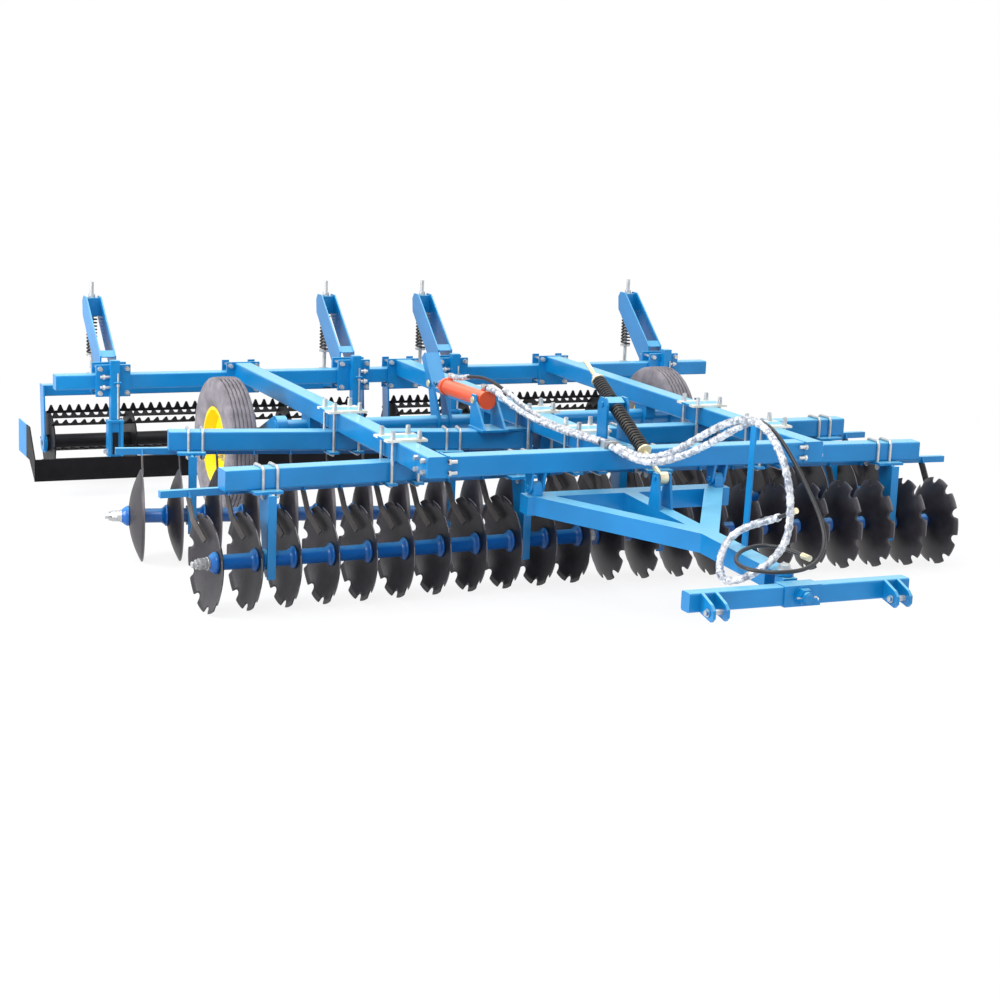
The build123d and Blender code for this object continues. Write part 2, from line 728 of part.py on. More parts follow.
with BuildPart() as cylinder_barrel:
    with BuildSketch(along_cylinder(-CAP_OVERHANG)):
        Circle(BARREL_RADIUS + 6)
    extrude(amount=2 * CAP_OVERHANG)
    with BuildSketch(along_cylinder(CAP_OVERHANG)):
        Circle(BARREL_RADIUS)
    extrude(amount=BARREL_LENGTH - CAP_OVERHANG)
    with BuildSketch(along_cylinder(BARREL_LENGTH - 36)):
        Circle(BARREL_RADIUS + 6)
    extrude(amount=36)
    with BuildSketch(along_cylinder(BARREL_LENGTH - 300)):
        Circle(ROD_RADIUS + RUNNING_FIT)
    extrude(amount=301, mode=Mode.SUBTRACT)
    rod(LEVER_X, CAP_Y, CAP_Z, PIN_RADIUS, 2 * (CHEEK_OFF + CHEEK_THICK) + 16)
    for distance in PORT_PLACES:
        origin = CAP_POINT + STROKE_DIRECTION * distance
        upwards = Plane(origin=origin, x_dir=(1, 0, 0), z_dir=PORT_UP)
        with BuildSketch(upwards.offset(ROD_RADIUS + 10)):
            Circle(PORT_RADIUS)
        extrude(amount=PORT_HEIGHT - ROD_RADIUS - 10)
        with BuildSketch(Plane(origin=elbow_face(distance), x_dir=(1, 0, 0), z_dir=STROKE_DIRECTION)):
            Circle(ELBOW_RADIUS)
        extrude(amount=ELBOW_REACH)
save(cylinder_barrel, "cylinder_barrel")

with BuildPart() as cylinder_rod:
    with BuildSketch(along_cylinder(BARREL_LENGTH - 290)):
        Circle(ROD_RADIUS)
    extrude(amount=REACH - BARREL_LENGTH + 290 - EYE_RADIUS + 8)
    rod(LEVER_X, LEVER_Y, LEVER_Z, EYE_RADIUS, EYE_WIDTH)
    rod(LEVER_X, LEVER_Y, LEVER_Z, PIN_RADIUS + OPEN_EYE, EYE_WIDTH + 2, mode=Mode.SUBTRACT)
save(cylinder_rod, "cylinder_rod")

with BuildPart() as cylinder_bracket:
    base = 2 * (CHEEK_OFF + CHEEK_THICK + 12)
    block((LEVER_X, BASE_Y, TUBE_BOTTOM + BASE_THICK / 2), (base, BASE_LENGTH, BASE_THICK))
    tab = -TUBE / 2 - (LEVER_X + base / 2 - 10)
    block((-TUBE / 2 - tab / 2, TAB_Y, TUBE_BOTTOM + BASE_THICK / 2), (tab, TAB_LENGTH, BASE_THICK))
    for edge in (-1, 1):
        x = LEVER_X + edge * (CHEEK_OFF + CHEEK_THICK / 2)
        outline = (
            (BASE_Y - BASE_LENGTH / 2, TUBE_BOTTOM + BASE_THICK - 1),
            (CAP_Y - 44, CAP_Z - 6),
            (CAP_Y - 30, CAP_Z + 36),
            (CAP_Y + 30, CAP_Z + 36),
            (CAP_Y + 44, CAP_Z - 6),
            (BASE_Y + BASE_LENGTH / 2, TUBE_BOTTOM + BASE_THICK - 1),
        )
        plate(x, CHEEK_THICK, outline)
    rod(LEVER_X, CAP_Y, CAP_Z, PIN_RADIUS + RUNNING_FIT, 4 * CHEEK_OFF, mode=Mode.SUBTRACT)
save(cylinder_bracket, "cylinder_bracket")

# Drawbar, in its own slope
DROP = radians(DRAWBAR_DROP)
FORWARD = Vector(0, -cos(DROP), -sin(DROP))
UPWARD = Vector(0, -sin(DROP), cos(DROP))
HINGE_POINT = Vector(0, HINGE_Y, HINGE_Z)


def on_drawbar(up, forward=0.0):
    """A plane in the drawbar's slope: X to the right, forward along its Y."""
    origin = HINGE_POINT + UPWARD * up + FORWARD * forward
    return Plane(origin=origin, x_dir=(-1, 0, 0), z_dir=UPWARD)


def member(start, end, width):
    """One straight member's plan, with square ends."""
    run = Vector(end[0] - start[0], end[1] - start[1], 0)
    side = Vector(-run.Y, run.X, 0).normalized() * (width / 2)
    corners = (
        (start[0] + side.X, start[1] + side.Y),
        (end[0] + side.X, end[1] + side.Y),
        (end[0] - side.X, end[1] - side.Y),
        (start[0] - side.X, start[1] - side.Y),
    )
    Polygon(*corners, align=None)


KINK = (HINGE_Y - KINK_Y) / cos(DROP)
TONGUE_PIN = (HINGE_Y - TONGUE_PIN_Y) / cos(DROP)
ARM_UP = DRAWBAR_LEVEL + DRAWBAR_TUBE
with BuildPart() as drawbar:
    with BuildSketch(on_drawbar(DRAWBAR_LEVEL)):
        member((-DRAWBAR_HALF, 0), (DRAWBAR_HALF, 0), DRAWBAR_TUBE)
        for side in (-1, 1):
            member((side * (HINGE_X - 10), 0), (0, KINK), DRAWBAR_TUBE)
        member((0, KINK - 60), (0, TONGUE_PIN - 95), DRAWBAR_TUBE)
        member((0, 0), (0, KINK), BRACE)
    extrude(amount=DRAWBAR_TUBE)
    for level in (DRAWBAR_LEVEL, ARM_UP - YOKE_THICK):
        with BuildSketch(on_drawbar(level)):
            with Locations((0, TONGUE_PIN)):
                Circle(YOKE_RADIUS)
            with Locations((0, TONGUE_PIN - 100)):
                Rectangle(DRAWBAR_TUBE, 20)
            make_hull()
        extrude(amount=YOKE_THICK)
    for side in (-1, 1):
        with BuildSketch(across(side * HINGE_X - EAR_WIDTH / 2)):
            with Locations((HINGE_Y, HINGE_Z)):
                Circle(EAR_RADIUS)
            with Locations((HINGE_Y, HINGE_Z - EAR_RADIUS - 8)):
                Rectangle(2 * EAR_RADIUS + 16, 16)
            make_hull()
        extrude(amount=EAR_WIDTH)
    for side in (-1, 1):
        bore = HINGE_PIN_RADIUS + RUNNING_FIT
        rod(side * HINGE_X, HINGE_Y, HINGE_Z, bore, EAR_WIDTH + 4, mode=Mode.SUBTRACT)
    for edge in (-1, 1):
        x = edge * (LEVEL_GAP + LEVEL_PLATE) / 2
        outline = (
            (LEVEL_PIN_Y - 70, LEVEL_PIN_Z - 190),
            (LEVEL_PIN_Y - 30, LEVEL_PIN_Z + 30),
            (LEVEL_PIN_Y + 30, LEVEL_PIN_Z + 30),
            (LEVEL_PIN_Y + 70, LEVEL_PIN_Z - 190),
        )
        plate(x, LEVEL_PLATE, outline)
    rod(0, LEVEL_PIN_Y, LEVEL_PIN_Z, LEVEL_PIN_RADIUS, LEVEL_GAP + 2 * LEVEL_PLATE + 20)
    for start, radius, length in (
        (DRAWBAR_LEVEL - 34, TONGUE_PIN_RADIUS, DRAWBAR_TUBE + 68),
        (ARM_UP - 1, TONGUE_PIN_RADIUS + 24, 11),
        (DRAWBAR_LEVEL - 10, TONGUE_PIN_RADIUS + 24, 11),
    ):
        with BuildSketch(on_drawbar(start, TONGUE_PIN)):
            Circle(radius)
        extrude(amount=length)
save(drawbar, "drawbar")

with BuildPart() as hose_post:
    with BuildSketch(on_drawbar(DRAWBAR_LEVEL + 10, POST_FORWARD)):
        with Locations((-(DRAWBAR_TUBE / 2 + HOSE_POST_THICK / 2), 0)):
            Rectangle(HOSE_POST_THICK, HOSE_POST_WIDTH)
    extrude(amount=HOSE_POST_HEIGHT)
    with BuildSketch(on_drawbar(DRAWBAR_LEVEL + 10 + HOSE_POST_HEIGHT - HOSE_POST_THICK, POST_FORWARD)):
        with Locations((-(DRAWBAR_TUBE / 2 + HOSE_REST / 2), 0)):
            Rectangle(HOSE_REST, HOSE_POST_WIDTH)
    extrude(amount=HOSE_POST_THICK)
save(hose_post, "hose_post")

# Hitch: a block that swivels on the tongue's upright pin, and the cross bar that rolls on its spindle
SWIVEL_UP = DRAWBAR_LEVEL + DRAWBAR_TUBE / 2
SWIVEL_HEIGHT = DRAWBAR_TUBE - 2 * YOKE_THICK - 10
BAR_BACK = TONGUE_PIN_Y - HITCH_BAR_Y - HITCH_BAR_DEPTH / 2 - WRAP_THICK
BAR_FRONT = TONGUE_PIN_Y - HITCH_BAR_Y + HITCH_BAR_DEPTH / 2 + WRAP_THICK
spindle = Plane(origin=(0, TONGUE_PIN_Y, HITCH_BAR_Z), x_dir=(1, 0, 0), z_dir=(0, -1, 0))
with BuildPart() as swivel_block:
    with BuildSketch(on_drawbar(SWIVEL_UP - SWIVEL_HEIGHT / 2, TONGUE_PIN)):
        Circle(SWIVEL_RADIUS)
        with Locations((0, NECK_START / 2 + 4)):
            Rectangle(NECK_WIDTH, NECK_START + 8)
        Circle(TONGUE_PIN_RADIUS + RUNNING_FIT, mode=Mode.SUBTRACT)
    extrude(amount=SWIVEL_HEIGHT)
    with BuildSketch(spindle.offset(NECK_START)):
        Rectangle(NECK_WIDTH, NECK_HEIGHT)
    extrude(amount=BAR_BACK - 6 - NECK_START)
    with BuildSketch(spindle.offset(NECK_START)):
        Circle(SPINDLE_RADIUS)
    extrude(amount=BAR_FRONT + 60 - NECK_START)
    with BuildSketch(spindle.offset(BAR_FRONT + 6)):
        RegularPolygon(44, 6)
    extrude(amount=34)
save(swivel_block, "swivel_block")

with BuildPart() as hitch_bar:
    crosswise = Plane(origin=(-HITCH_BAR_HALF, HITCH_BAR_Y, HITCH_BAR_Z), x_dir=(0, 1, 0), z_dir=(1, 0, 0))
    bar(crosswise, HITCH_BAR_DEPTH, HITCH_BAR_HEIGHT, 2 * HITCH_BAR_HALF)
    wrap = (WRAP_HALF * 2, HITCH_BAR_DEPTH + 2 * WRAP_THICK, HITCH_BAR_HEIGHT + 8)
    block((0, HITCH_BAR_Y, HITCH_BAR_Z), wrap)
    front_face = HITCH_BAR_Y - HITCH_BAR_DEPTH / 2
    for side in (-1, 1):
        for edge in (-1, 1):
            x = side * CLEVIS_X + edge * (CLEVIS_GAP + CLEVIS_PLATE) / 2
            outline = (
                (front_face + 2, HITCH_BAR_Z + HITCH_BAR_HEIGHT / 2),
                (HITCH_PIN_Y - 20, HITCH_BAR_Z + 14),
                (HITCH_PIN_Y - 48, HITCH_BAR_Z - 10),
                (HITCH_PIN_Y - 48, HITCH_BAR_Z - 50),
                (HITCH_PIN_Y - 26, HITCH_BAR_Z - 72),
                (front_face + 2, HITCH_BAR_Z - HITCH_BAR_HEIGHT / 2),
            )
            plate(x, CLEVIS_PLATE, outline)
        length = CLEVIS_GAP + 2 * CLEVIS_PLATE + 30
        rod(side * CLEVIS_X, HITCH_PIN_Y, HITCH_BAR_Z - 30, HITCH_PIN_RADIUS, length)
    with BuildSketch(spindle):
        Circle(SPINDLE_RADIUS + RUNNING_FIT)
    extrude(amount=400, mode=Mode.SUBTRACT)
save(hitch_bar, "hitch_bar")

# Levelling rod through its trunnion block over the centre tube
LEVEL_RUN = hypot(TRUNNION_Y - LEVEL_PIN_Y, TRUNNION_Z - LEVEL_PIN_Z)
LEVEL_DIRECTION = Vector(0, (TRUNNION_Y - LEVEL_PIN_Y) / LEVEL_RUN, (TRUNNION_Z - LEVEL_PIN_Z) / LEVEL_RUN)
LEVEL_POINT = Vector(0, LEVEL_PIN_Y, LEVEL_PIN_Z)


def along_level(distance):
    """A plane across the levelling rod, a distance above its lower pin."""
    return Plane(origin=LEVEL_POINT + LEVEL_DIRECTION * distance, x_dir=(1, 0, 0), z_dir=LEVEL_DIRECTION)


def spring(start, direction, length, radius, core, turns):
    """A coil spring's outer form: a sleeve with a groove between each turn and the next."""
    pitch = length / turns
    wire = min(pitch * 0.4, (radius - core) * 0.6)
    points = [(0, core)]
    for turn in range(turns):
        low = turn * pitch
        points += [(low, radius - wire), (low + pitch / 2, radius)]
    points += [(length, radius - wire), (length, core)]
    side = Vector(1, 0, 0) if abs(direction.X) < 0.5 else Vector(0, 1, 0)
    with BuildSketch(Plane(origin=start, x_dir=direction, z_dir=direction.cross(side))) as section:
        with BuildLine():
            Polyline(*points, close=True)
        make_face()
    revolve(section.sketch, axis=Axis(start, direction))


with BuildPart() as trunnion_lugs:
    for edge in (-1, 1):
        x = edge * (TUBE + LUG_THICK) / 2
        outline = (
            (TRUNNION_Y - 60, TUBE_BOTTOM + 24),
            (TRUNNION_Y - 60, TRUNNION_Z + 4),
            (TRUNNION_Y - 34, TRUNNION_Z + 40),
            (TRUNNION_Y + 34, TRUNNION_Z + 40),
            (TRUNNION_Y + 60, TRUNNION_Z + 4),
            (TRUNNION_Y + 60, TUBE_BOTTOM + 24),
        )
        plate(x, LUG_THICK, outline)
        rod(x, TRUNNION_Y, TRUNNION_Z, TRUNNION_RADIUS + RUNNING_FIT, LUG_THICK + 4, mode=Mode.SUBTRACT)
save(trunnion_lugs, "trunnion_lugs")

with BuildPart() as trunnion_block:
    with BuildSketch(along_level(LEVEL_RUN - TRUNNION_BLOCK / 2)):
        Rectangle(TUBE - 12, TRUNNION_BLOCK)
        Circle(LEVEL_ROD_RADIUS + RUNNING_FIT, mode=Mode.SUBTRACT)
    extrude(amount=TRUNNION_BLOCK)
    for edge in (-1, 1):
        x = edge * ((TUBE - 12) / 2 - 6 + (LUG_THICK + 20) / 2)
        rod(x, TRUNNION_Y, TRUNNION_Z, TRUNNION_RADIUS, LUG_THICK + 20)
save(trunnion_block, "trunnion_block")

with BuildPart() as levelling_rod:
    with BuildSketch(along_level(EYE_RADIUS - 6)):
        Circle(LEVEL_ROD_RADIUS)
    extrude(amount=LEVEL_ROD_LENGTH - EYE_RADIUS + 6)
    rod(0, LEVEL_PIN_Y, LEVEL_PIN_Z, EYE_RADIUS, LEVEL_GAP - 8)
    rod(0, LEVEL_PIN_Y, LEVEL_PIN_Z, LEVEL_PIN_RADIUS + LEVEL_OPEN, LEVEL_GAP, mode=Mode.SUBTRACT)
    for distance in (LOWER_SPRING[0] - SPRING_SEAT, LEVEL_RUN + UPPER_SPRING[1]):
        with BuildSketch(along_level(distance)):
            Circle(LEVEL_SPRING_RADIUS)
        extrude(amount=SPRING_SEAT)
save(levelling_rod, "levelling_rod")

for name, low, high in (
    ("levelling_spring_lower", LOWER_SPRING[0], LEVEL_RUN - LOWER_SPRING[1]),
    ("levelling_spring_upper", LEVEL_RUN + UPPER_SPRING[0], LEVEL_RUN + UPPER_SPRING[1]),
):
    with BuildPart() as made:
        start = LEVEL_POINT + LEVEL_DIRECTION * low
        spring(start, LEVEL_DIRECTION, high - low, LEVEL_SPRING_RADIUS, LEVEL_ROD_RADIUS + 3, LEVEL_TURNS)
    save(made, name)

# Rear masts with their spring rods, and the roller frames that they press down
BEAM_FRONT = FLANGE_Y + FLANGE_THICK
BEAM_BACK = BEAM_FRONT + REAR_BEAM
with BuildPart() as masts:
    for x in MAST_X:
        for low, thick in ((BEAM_FRONT - MAST_CLAMP, MAST_CLAMP), (BEAM_BACK, MAST_CLAMP)):
            block((x, low + thick / 2, FLANGE_Z), (MAST_CLAMP_WIDTH, thick, FLANGE_HEIGHT))
        for edge in (-1, 1):
            outline = (
                (BEAM_BACK + MAST_CLAMP - 2, FLANGE_Z - FLANGE_HEIGHT / 2),
                (BEAM_BACK + MAST_CLAMP - 2, FLANGE_Z + FLANGE_HEIGHT / 2 + 40),
                (MAST_TOP_Y - 60, MAST_TOP_Z + 20),
                (MAST_TOP_Y + 20, MAST_TOP_Z + 20),
                (MAST_TOP_Y + 52, MAST_TOP_Z - 20),
                (MAST_TOP_Y + 40, MAST_TOP_Z - 120),
                (ARM_PIVOT_Y + 70, FLANGE_Z + 30),
                (ARM_PIVOT_Y + 40, ARM_PIVOT_Z - 44),
                (ARM_PIVOT_Y - 20, ARM_PIVOT_Z - 44),
            )
            plate(x + edge * MAST_OFF, MAST_PLATE, outline)
        block((x, MAST_TOP_Y, MAST_TOP_Z - 56), (2 * MAST_OFF - MAST_PLATE, 84, 128))
        rod(x, ARM_PIVOT_Y, ARM_PIVOT_Z, PIN_RADIUS, 2 * MAST_OFF + MAST_PLATE + 24)
        with BuildSketch(Plane(origin=(x, MAST_TOP_Y, MAST_TOP_Z - 200))):
            Circle(DOWN_ROD_RADIUS + 1)
        extrude(amount=300, mode=Mode.SUBTRACT)
save(masts, "masts")

with BuildPart() as down_rods:
    for x in MAST_X:
        with BuildSketch(Plane(origin=(x, MAST_TOP_Y, DOWN_FOOT_Z))):
            Circle(DOWN_ROD_RADIUS)
        extrude(amount=DOWN_ROD_TOP - DOWN_FOOT_Z)
        for low, radius, thick in ((MAST_TOP_Z + 8, 24, 26), (SPRING_LOW - 14, DOWN_SPRING_RADIUS, 14)):
            with BuildSketch(Plane(origin=(x, MAST_TOP_Y, low))):
                Circle(radius)
            extrude(amount=thick)
        block((x, MAST_TOP_Y, DOWN_FOOT_Z + DOWN_FOOT / 3), (DOWN_FOOT, DOWN_FOOT, DOWN_FOOT * 2 / 3))
save(down_rods, "down_rods")

with BuildPart() as down_springs:
    for x in MAST_X:
        start = Vector(x, MAST_TOP_Y, SPRING_LOW)
        spring(start, Vector(0, 0, 1), SPRING_HIGH - SPRING_LOW, DOWN_SPRING_RADIUS, DOWN_ROD_RADIUS + 3, 9)
save(down_springs, "down_springs")


def roller_frame(name, side, xs):
    """A cross tube over one roller, its two arms from the masts and its end plates."""
    inner = ROLLER_X - ROLLER_HALF - END_GAP - END_THICK / 2
    outer = ROLLER_X + ROLLER_HALF + END_GAP + END_THICK / 2
    with BuildPart() as made:
        start = side * inner if side > 0 else side * outer
        crosswise = Plane(origin=(start, ROLLER_TUBE_Y, ROLLER_TUBE_Z), x_dir=(0, 1, 0), z_dir=(1, 0, 0))
        bar(crosswise, ROLLER_TUBE, ROLLER_TUBE, outer - inner, 8)
        for x in xs:
            outline = (
                (ARM_PIVOT_Y - 34, ARM_PIVOT_Z - 30),
                (ARM_PIVOT_Y - 34, ARM_PIVOT_Z + 30),
                (ARM_PIVOT_Y + 40, ARM_PIVOT_Z + 44),
                (MAST_TOP_Y - 80, DOWN_FOOT_Z),
                (MAST_TOP_Y + DOWN_FOOT / 2 + 4, DOWN_FOOT_Z),
                (MAST_TOP_Y + DOWN_FOOT / 2 + 4, ROLLER_TUBE_Z),
                (ROLLER_TUBE_Y - 30, ROLLER_TUBE_Z - 24),
                (ARM_PIVOT_Y + 60, ARM_PIVOT_Z - 40),
            )
            plate(x, ROLLER_ARM, outline)
            rod(x, ARM_PIVOT_Y, ARM_PIVOT_Z, PIN_RADIUS + RUNNING_FIT, ROLLER_ARM + 4, mode=Mode.SUBTRACT)
        for x in (side * inner, side * outer):
            outline = (
                (ROLLER_Y - 60, ROLLER_RADIUS - 60),
                (ROLLER_TUBE_Y - 60, ROLLER_TUBE_Z + 40),
                (ROLLER_TUBE_Y + 60, ROLLER_TUBE_Z + 40),
                (ROLLER_Y + 60, ROLLER_RADIUS - 60),
            )
            plate(x, END_THICK, outline)
            rod(x, ROLLER_Y, ROLLER_RADIUS, BEARING_RADIUS, END_THICK + 16)
            rod(x, ROLLER_Y, ROLLER_RADIUS, ROLLER_STUB + RUNNING_FIT, END_THICK + 20, mode=Mode.SUBTRACT)
    save(made, f"roller_frame_{name}")


roller_frame("left", -1, MAST_X[:2])
roller_frame("right", 1, MAST_X[2:])

# Cage rollers: toothed bars welded to plates along a centre tube
for name, side in (("left", -1), ("right", 1)):
    with BuildPart() as roller:
        start = side * ROLLER_X - ROLLER_HALF
        half = ROLLER_HALF + END_GAP + END_THICK + 6
        rod(side * ROLLER_X, ROLLER_Y, ROLLER_RADIUS, ROLLER_STUB, 2 * half)
        with BuildSketch(across(start)):
            with Locations((ROLLER_Y, ROLLER_RADIUS)):
                RegularPolygon(ROLLER_CORE, ROLLER_BARS)
        extrude(amount=2 * ROLLER_HALF)
        for index in range(ROLLER_PLATES):
            x = start + 12 + index * (2 * ROLLER_HALF - 24 - 10) / (ROLLER_PLATES - 1)
            with BuildSketch(across(x)):
                with Locations((ROLLER_Y, ROLLER_RADIUS)):
                    RegularPolygon(ROLLER_PLATE_RADIUS, ROLLER_BARS)
            extrude(amount=10)
        teeth = int(2 * ROLLER_HALF / TOOTH_PITCH)
        pitch = 2 * ROLLER_HALF / teeth
        root = ROLLER_RADIUS - TOOTH_HEIGHT
        edge = [(0, root - TOOTH_BACK)]
        for tooth in range(teeth):
            edge += [(tooth * pitch, root), ((tooth + 0.5) * pitch, ROLLER_RADIUS)]
        edge += [(2 * ROLLER_HALF, root), (2 * ROLLER_HALF, root - TOOTH_BACK)]
        for index in range(ROLLER_BARS):
            turn = 360 / ROLLER_BARS * index
            up = Vector(0, cos(radians(turn)), sin(radians(turn)))
            origin = Vector(start, ROLLER_Y, ROLLER_RADIUS)
            normal = Vector(1, 0, 0).cross(up)
            corner = origin - normal * (TOOTH_THICK / 2)
            with BuildSketch(Plane(origin=corner, x_dir=(1, 0, 0), z_dir=normal)):
                with BuildLine():
                    Polyline(*edge, close=True)
                make_face()
            extrude(amount=TOOTH_THICK)
    save(roller, f"roller_{name}")

# Levelling boards in front of the rollers, on posts clamped to the rear beam
with BuildPart() as board_posts:
    for x in MAST_X:
        with BuildSketch(Plane(origin=(x, POST_Y, POST_BOTTOM))):
            Rectangle(POST, POST)
        extrude(amount=POST_TOP - POST_BOTTOM)
save(board_posts, "board_posts")

for name, side in (("left", -1), ("right", 1)):
    with BuildPart() as board:
        x = side * (BOARD_INNER + BOARD_OUTER) / 2
        front = POST_Y - POST / 2 - BOARD_THICK
        height = BOARD_TOP - BOARD_BOTTOM
        center = (x, front + BOARD_THICK / 2, (BOARD_TOP + BOARD_BOTTOM) / 2)
        block(center, (BOARD_OUTER - BOARD_INNER, BOARD_THICK, height))
        outline = (
            (front, BOARD_BOTTOM),
            (front, BOARD_TOP),
            (SIDE_PLATE_FRONT, SIDE_PLATE_TOP),
            (SIDE_PLATE_BACK, SIDE_PLATE_TOP),
            (SIDE_PLATE_BACK, SIDE_PLATE_BOTTOM),
            (SIDE_PLATE_FRONT, SIDE_PLATE_BOTTOM),
        )
        plate(side * (BOARD_OUTER - SIDE_PLATE_THICK / 2), SIDE_PLATE_THICK, outline)
    save(board, f"levelling_board_{name}")

# The clamp that holds the hoses' unions on the front cross beam
with BuildPart() as hose_unions:
    middle = (UNION_X[0] + UNION_X[1]) / 2
    block_top = UNION_Z + UNION_RADIUS + 6
    block_center = (middle, CROSS_Y, (FRAME_TOP + block_top) / 2)
    block(block_center, (UNION_CLAMP[0], UNION_CLAMP[1], block_top - FRAME_TOP))
    for x in UNION_X:
        face = Plane(origin=(x, CROSS_Y + UNION_LENGTH / 2, UNION_Z), x_dir=(1, 0, 0), z_dir=(0, -1, 0))
        with BuildSketch(face):
            Circle(UNION_RADIUS)
        extrude(amount=UNION_LENGTH)
save(hose_unions, "hose_unions")


def hose(name, points):
    """A hose along straight runs with tangent arcs, each as large as the shorter of its two runs allows."""
    route = [Vector(*point) for point in points]
    radii = []
    for before, corner, after in zip(route, route[1:], route[2:]):
        shorter = min((corner - before).length, (after - corner).length)
        half_turn = radians((corner - before).get_angle(after - corner)) / 2
        radii.append(0.45 * shorter / tan(half_turn))
    with BuildPart() as made:
        with BuildLine() as path:
            FilletPolyline(*route, radius=radii)
        run = path.wire()
        with BuildSketch(Plane(origin=run @ 0, z_dir=run % 0)):
            Circle(HOSE / 2)
        sweep()
    share = made.part.volume / (pi * HOSE ** 2 / 4 * run.length)
    print(name, f"{run.length:.0f} mm long, radii", [round(radius) for radius in radii])
    print(name, f"volume is {share:.4f} of section x length")
    save(made, name)


for name, place, union_x, rear, front in (
    ("rod", PORT_PLACES[1], UNION_X[0], ROD_REAR, ROD_FRONT),
    ("cap", PORT_PLACES[0], UNION_X[1], CAP_REAR, CAP_FRONT),
):
    exit_face = elbow_face(place)
    union_back = (union_x, CROSS_Y + UNION_LENGTH / 2, UNION_Z)
    union_front = (union_x, CROSS_Y - UNION_LENGTH / 2, UNION_Z)
    hose(f"hose_{name}_rear", (exit_face, exit_face - STROKE_DIRECTION * 56, *rear, union_back))
    hose(f"hose_{name}_front", (union_front, *front))
    with BuildPart() as coupling:
        end = Vector(*front[-1])
        towards = (end - Vector(*front[-2])).normalized()
        with BuildSketch(Plane(origin=end, z_dir=towards)):
            Circle(COUPLING_RADIUS)
        extrude(amount=COUPLING_LENGTH)
    save(coupling, f"hose_{name}_coupling")
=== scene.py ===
"""A trailed disc harrow in paint, steel and rubber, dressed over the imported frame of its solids.

Metres. The hitch is at -Y, the rollers at +Y, +X is to the right seen from the hitch, Z = 0 is the ground.
In the names, "left" is -X.
"""
from math import cos, pi, radians, sin, tan

import bmesh
import bpy
from mathutils import Matrix, Vector


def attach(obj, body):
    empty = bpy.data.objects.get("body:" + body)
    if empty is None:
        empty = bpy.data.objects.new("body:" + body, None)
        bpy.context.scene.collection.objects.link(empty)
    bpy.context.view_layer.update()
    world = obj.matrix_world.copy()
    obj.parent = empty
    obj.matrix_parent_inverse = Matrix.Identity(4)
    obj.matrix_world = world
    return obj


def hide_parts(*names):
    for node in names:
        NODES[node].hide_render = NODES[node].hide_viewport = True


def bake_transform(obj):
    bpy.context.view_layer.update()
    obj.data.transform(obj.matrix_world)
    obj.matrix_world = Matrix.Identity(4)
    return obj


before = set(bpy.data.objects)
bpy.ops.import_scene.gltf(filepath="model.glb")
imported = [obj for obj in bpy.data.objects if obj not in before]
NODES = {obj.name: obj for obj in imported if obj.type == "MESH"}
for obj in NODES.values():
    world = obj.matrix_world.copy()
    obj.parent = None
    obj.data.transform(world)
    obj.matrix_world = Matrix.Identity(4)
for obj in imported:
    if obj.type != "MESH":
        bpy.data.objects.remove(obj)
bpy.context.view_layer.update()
UP = Vector((0, 0, 1))
ACROSS = Vector((1, 0, 0))
REARWARD = Vector((0, 1, 0))

# --- Places that several groups of pieces share, as in the solids ---
SIDES = (("left", -1), ("right", 1))
EDGES = (-1, 1)
BEAM_Y = {"front": -0.615, "rear": 0.105}
GANG_DEGREES = {"front_left": 3.5, "front_right": 3.5, "rear_left": 10.0, "rear_right": 1.0}
LONGITUDINAL_X = (-1.220, 0.0, 1.220)
LONGITUDINAL_Z, FRAME_TOP = 0.850, 0.910
MAST_X = (-2.157, -0.388, 0.388, 2.157)

# --- Camera: the photograph's place and angle ---
CAMERA_PLACE = Vector((-5.575, -11.88, 3.037))
CAMERA_YAW = radians(24.07)
CAMERA_PITCH = radians(11.38)
CAMERA_ROLL = radians(2.26)
PICTURE_PIXELS, FOCAL_PIXELS, CENTRE_ROW = 1000, 2105.0, 491.5
SENSOR_WIDTH = 36.0

level = Vector((cos(CAMERA_YAW), -sin(CAMERA_YAW), 0))
ahead = Vector((sin(CAMERA_YAW), cos(CAMERA_YAW), 0))
forward = cos(CAMERA_PITCH) * ahead - sin(CAMERA_PITCH) * UP
upright = level.cross(forward)
side = cos(CAMERA_ROLL) * level + sin(CAMERA_ROLL) * upright
top = -sin(CAMERA_ROLL) * level + cos(CAMERA_ROLL) * upright
camera = bpy.data.objects.new("camera", bpy.data.cameras.new("camera"))
camera.data.sensor_width = SENSOR_WIDTH
camera.data.lens = SENSOR_WIDTH * FOCAL_PIXELS / PICTURE_PIXELS
camera.data.shift_y = (CENTRE_ROW - PICTURE_PIXELS / 2) / PICTURE_PIXELS
camera.data.clip_end = 200
camera.matrix_world = Matrix.Translation(CAMERA_PLACE) @ Matrix((side, top, -forward)).transposed().to_4x4()
bpy.context.collection.objects.link(camera)
bpy.context.scene.camera = camera


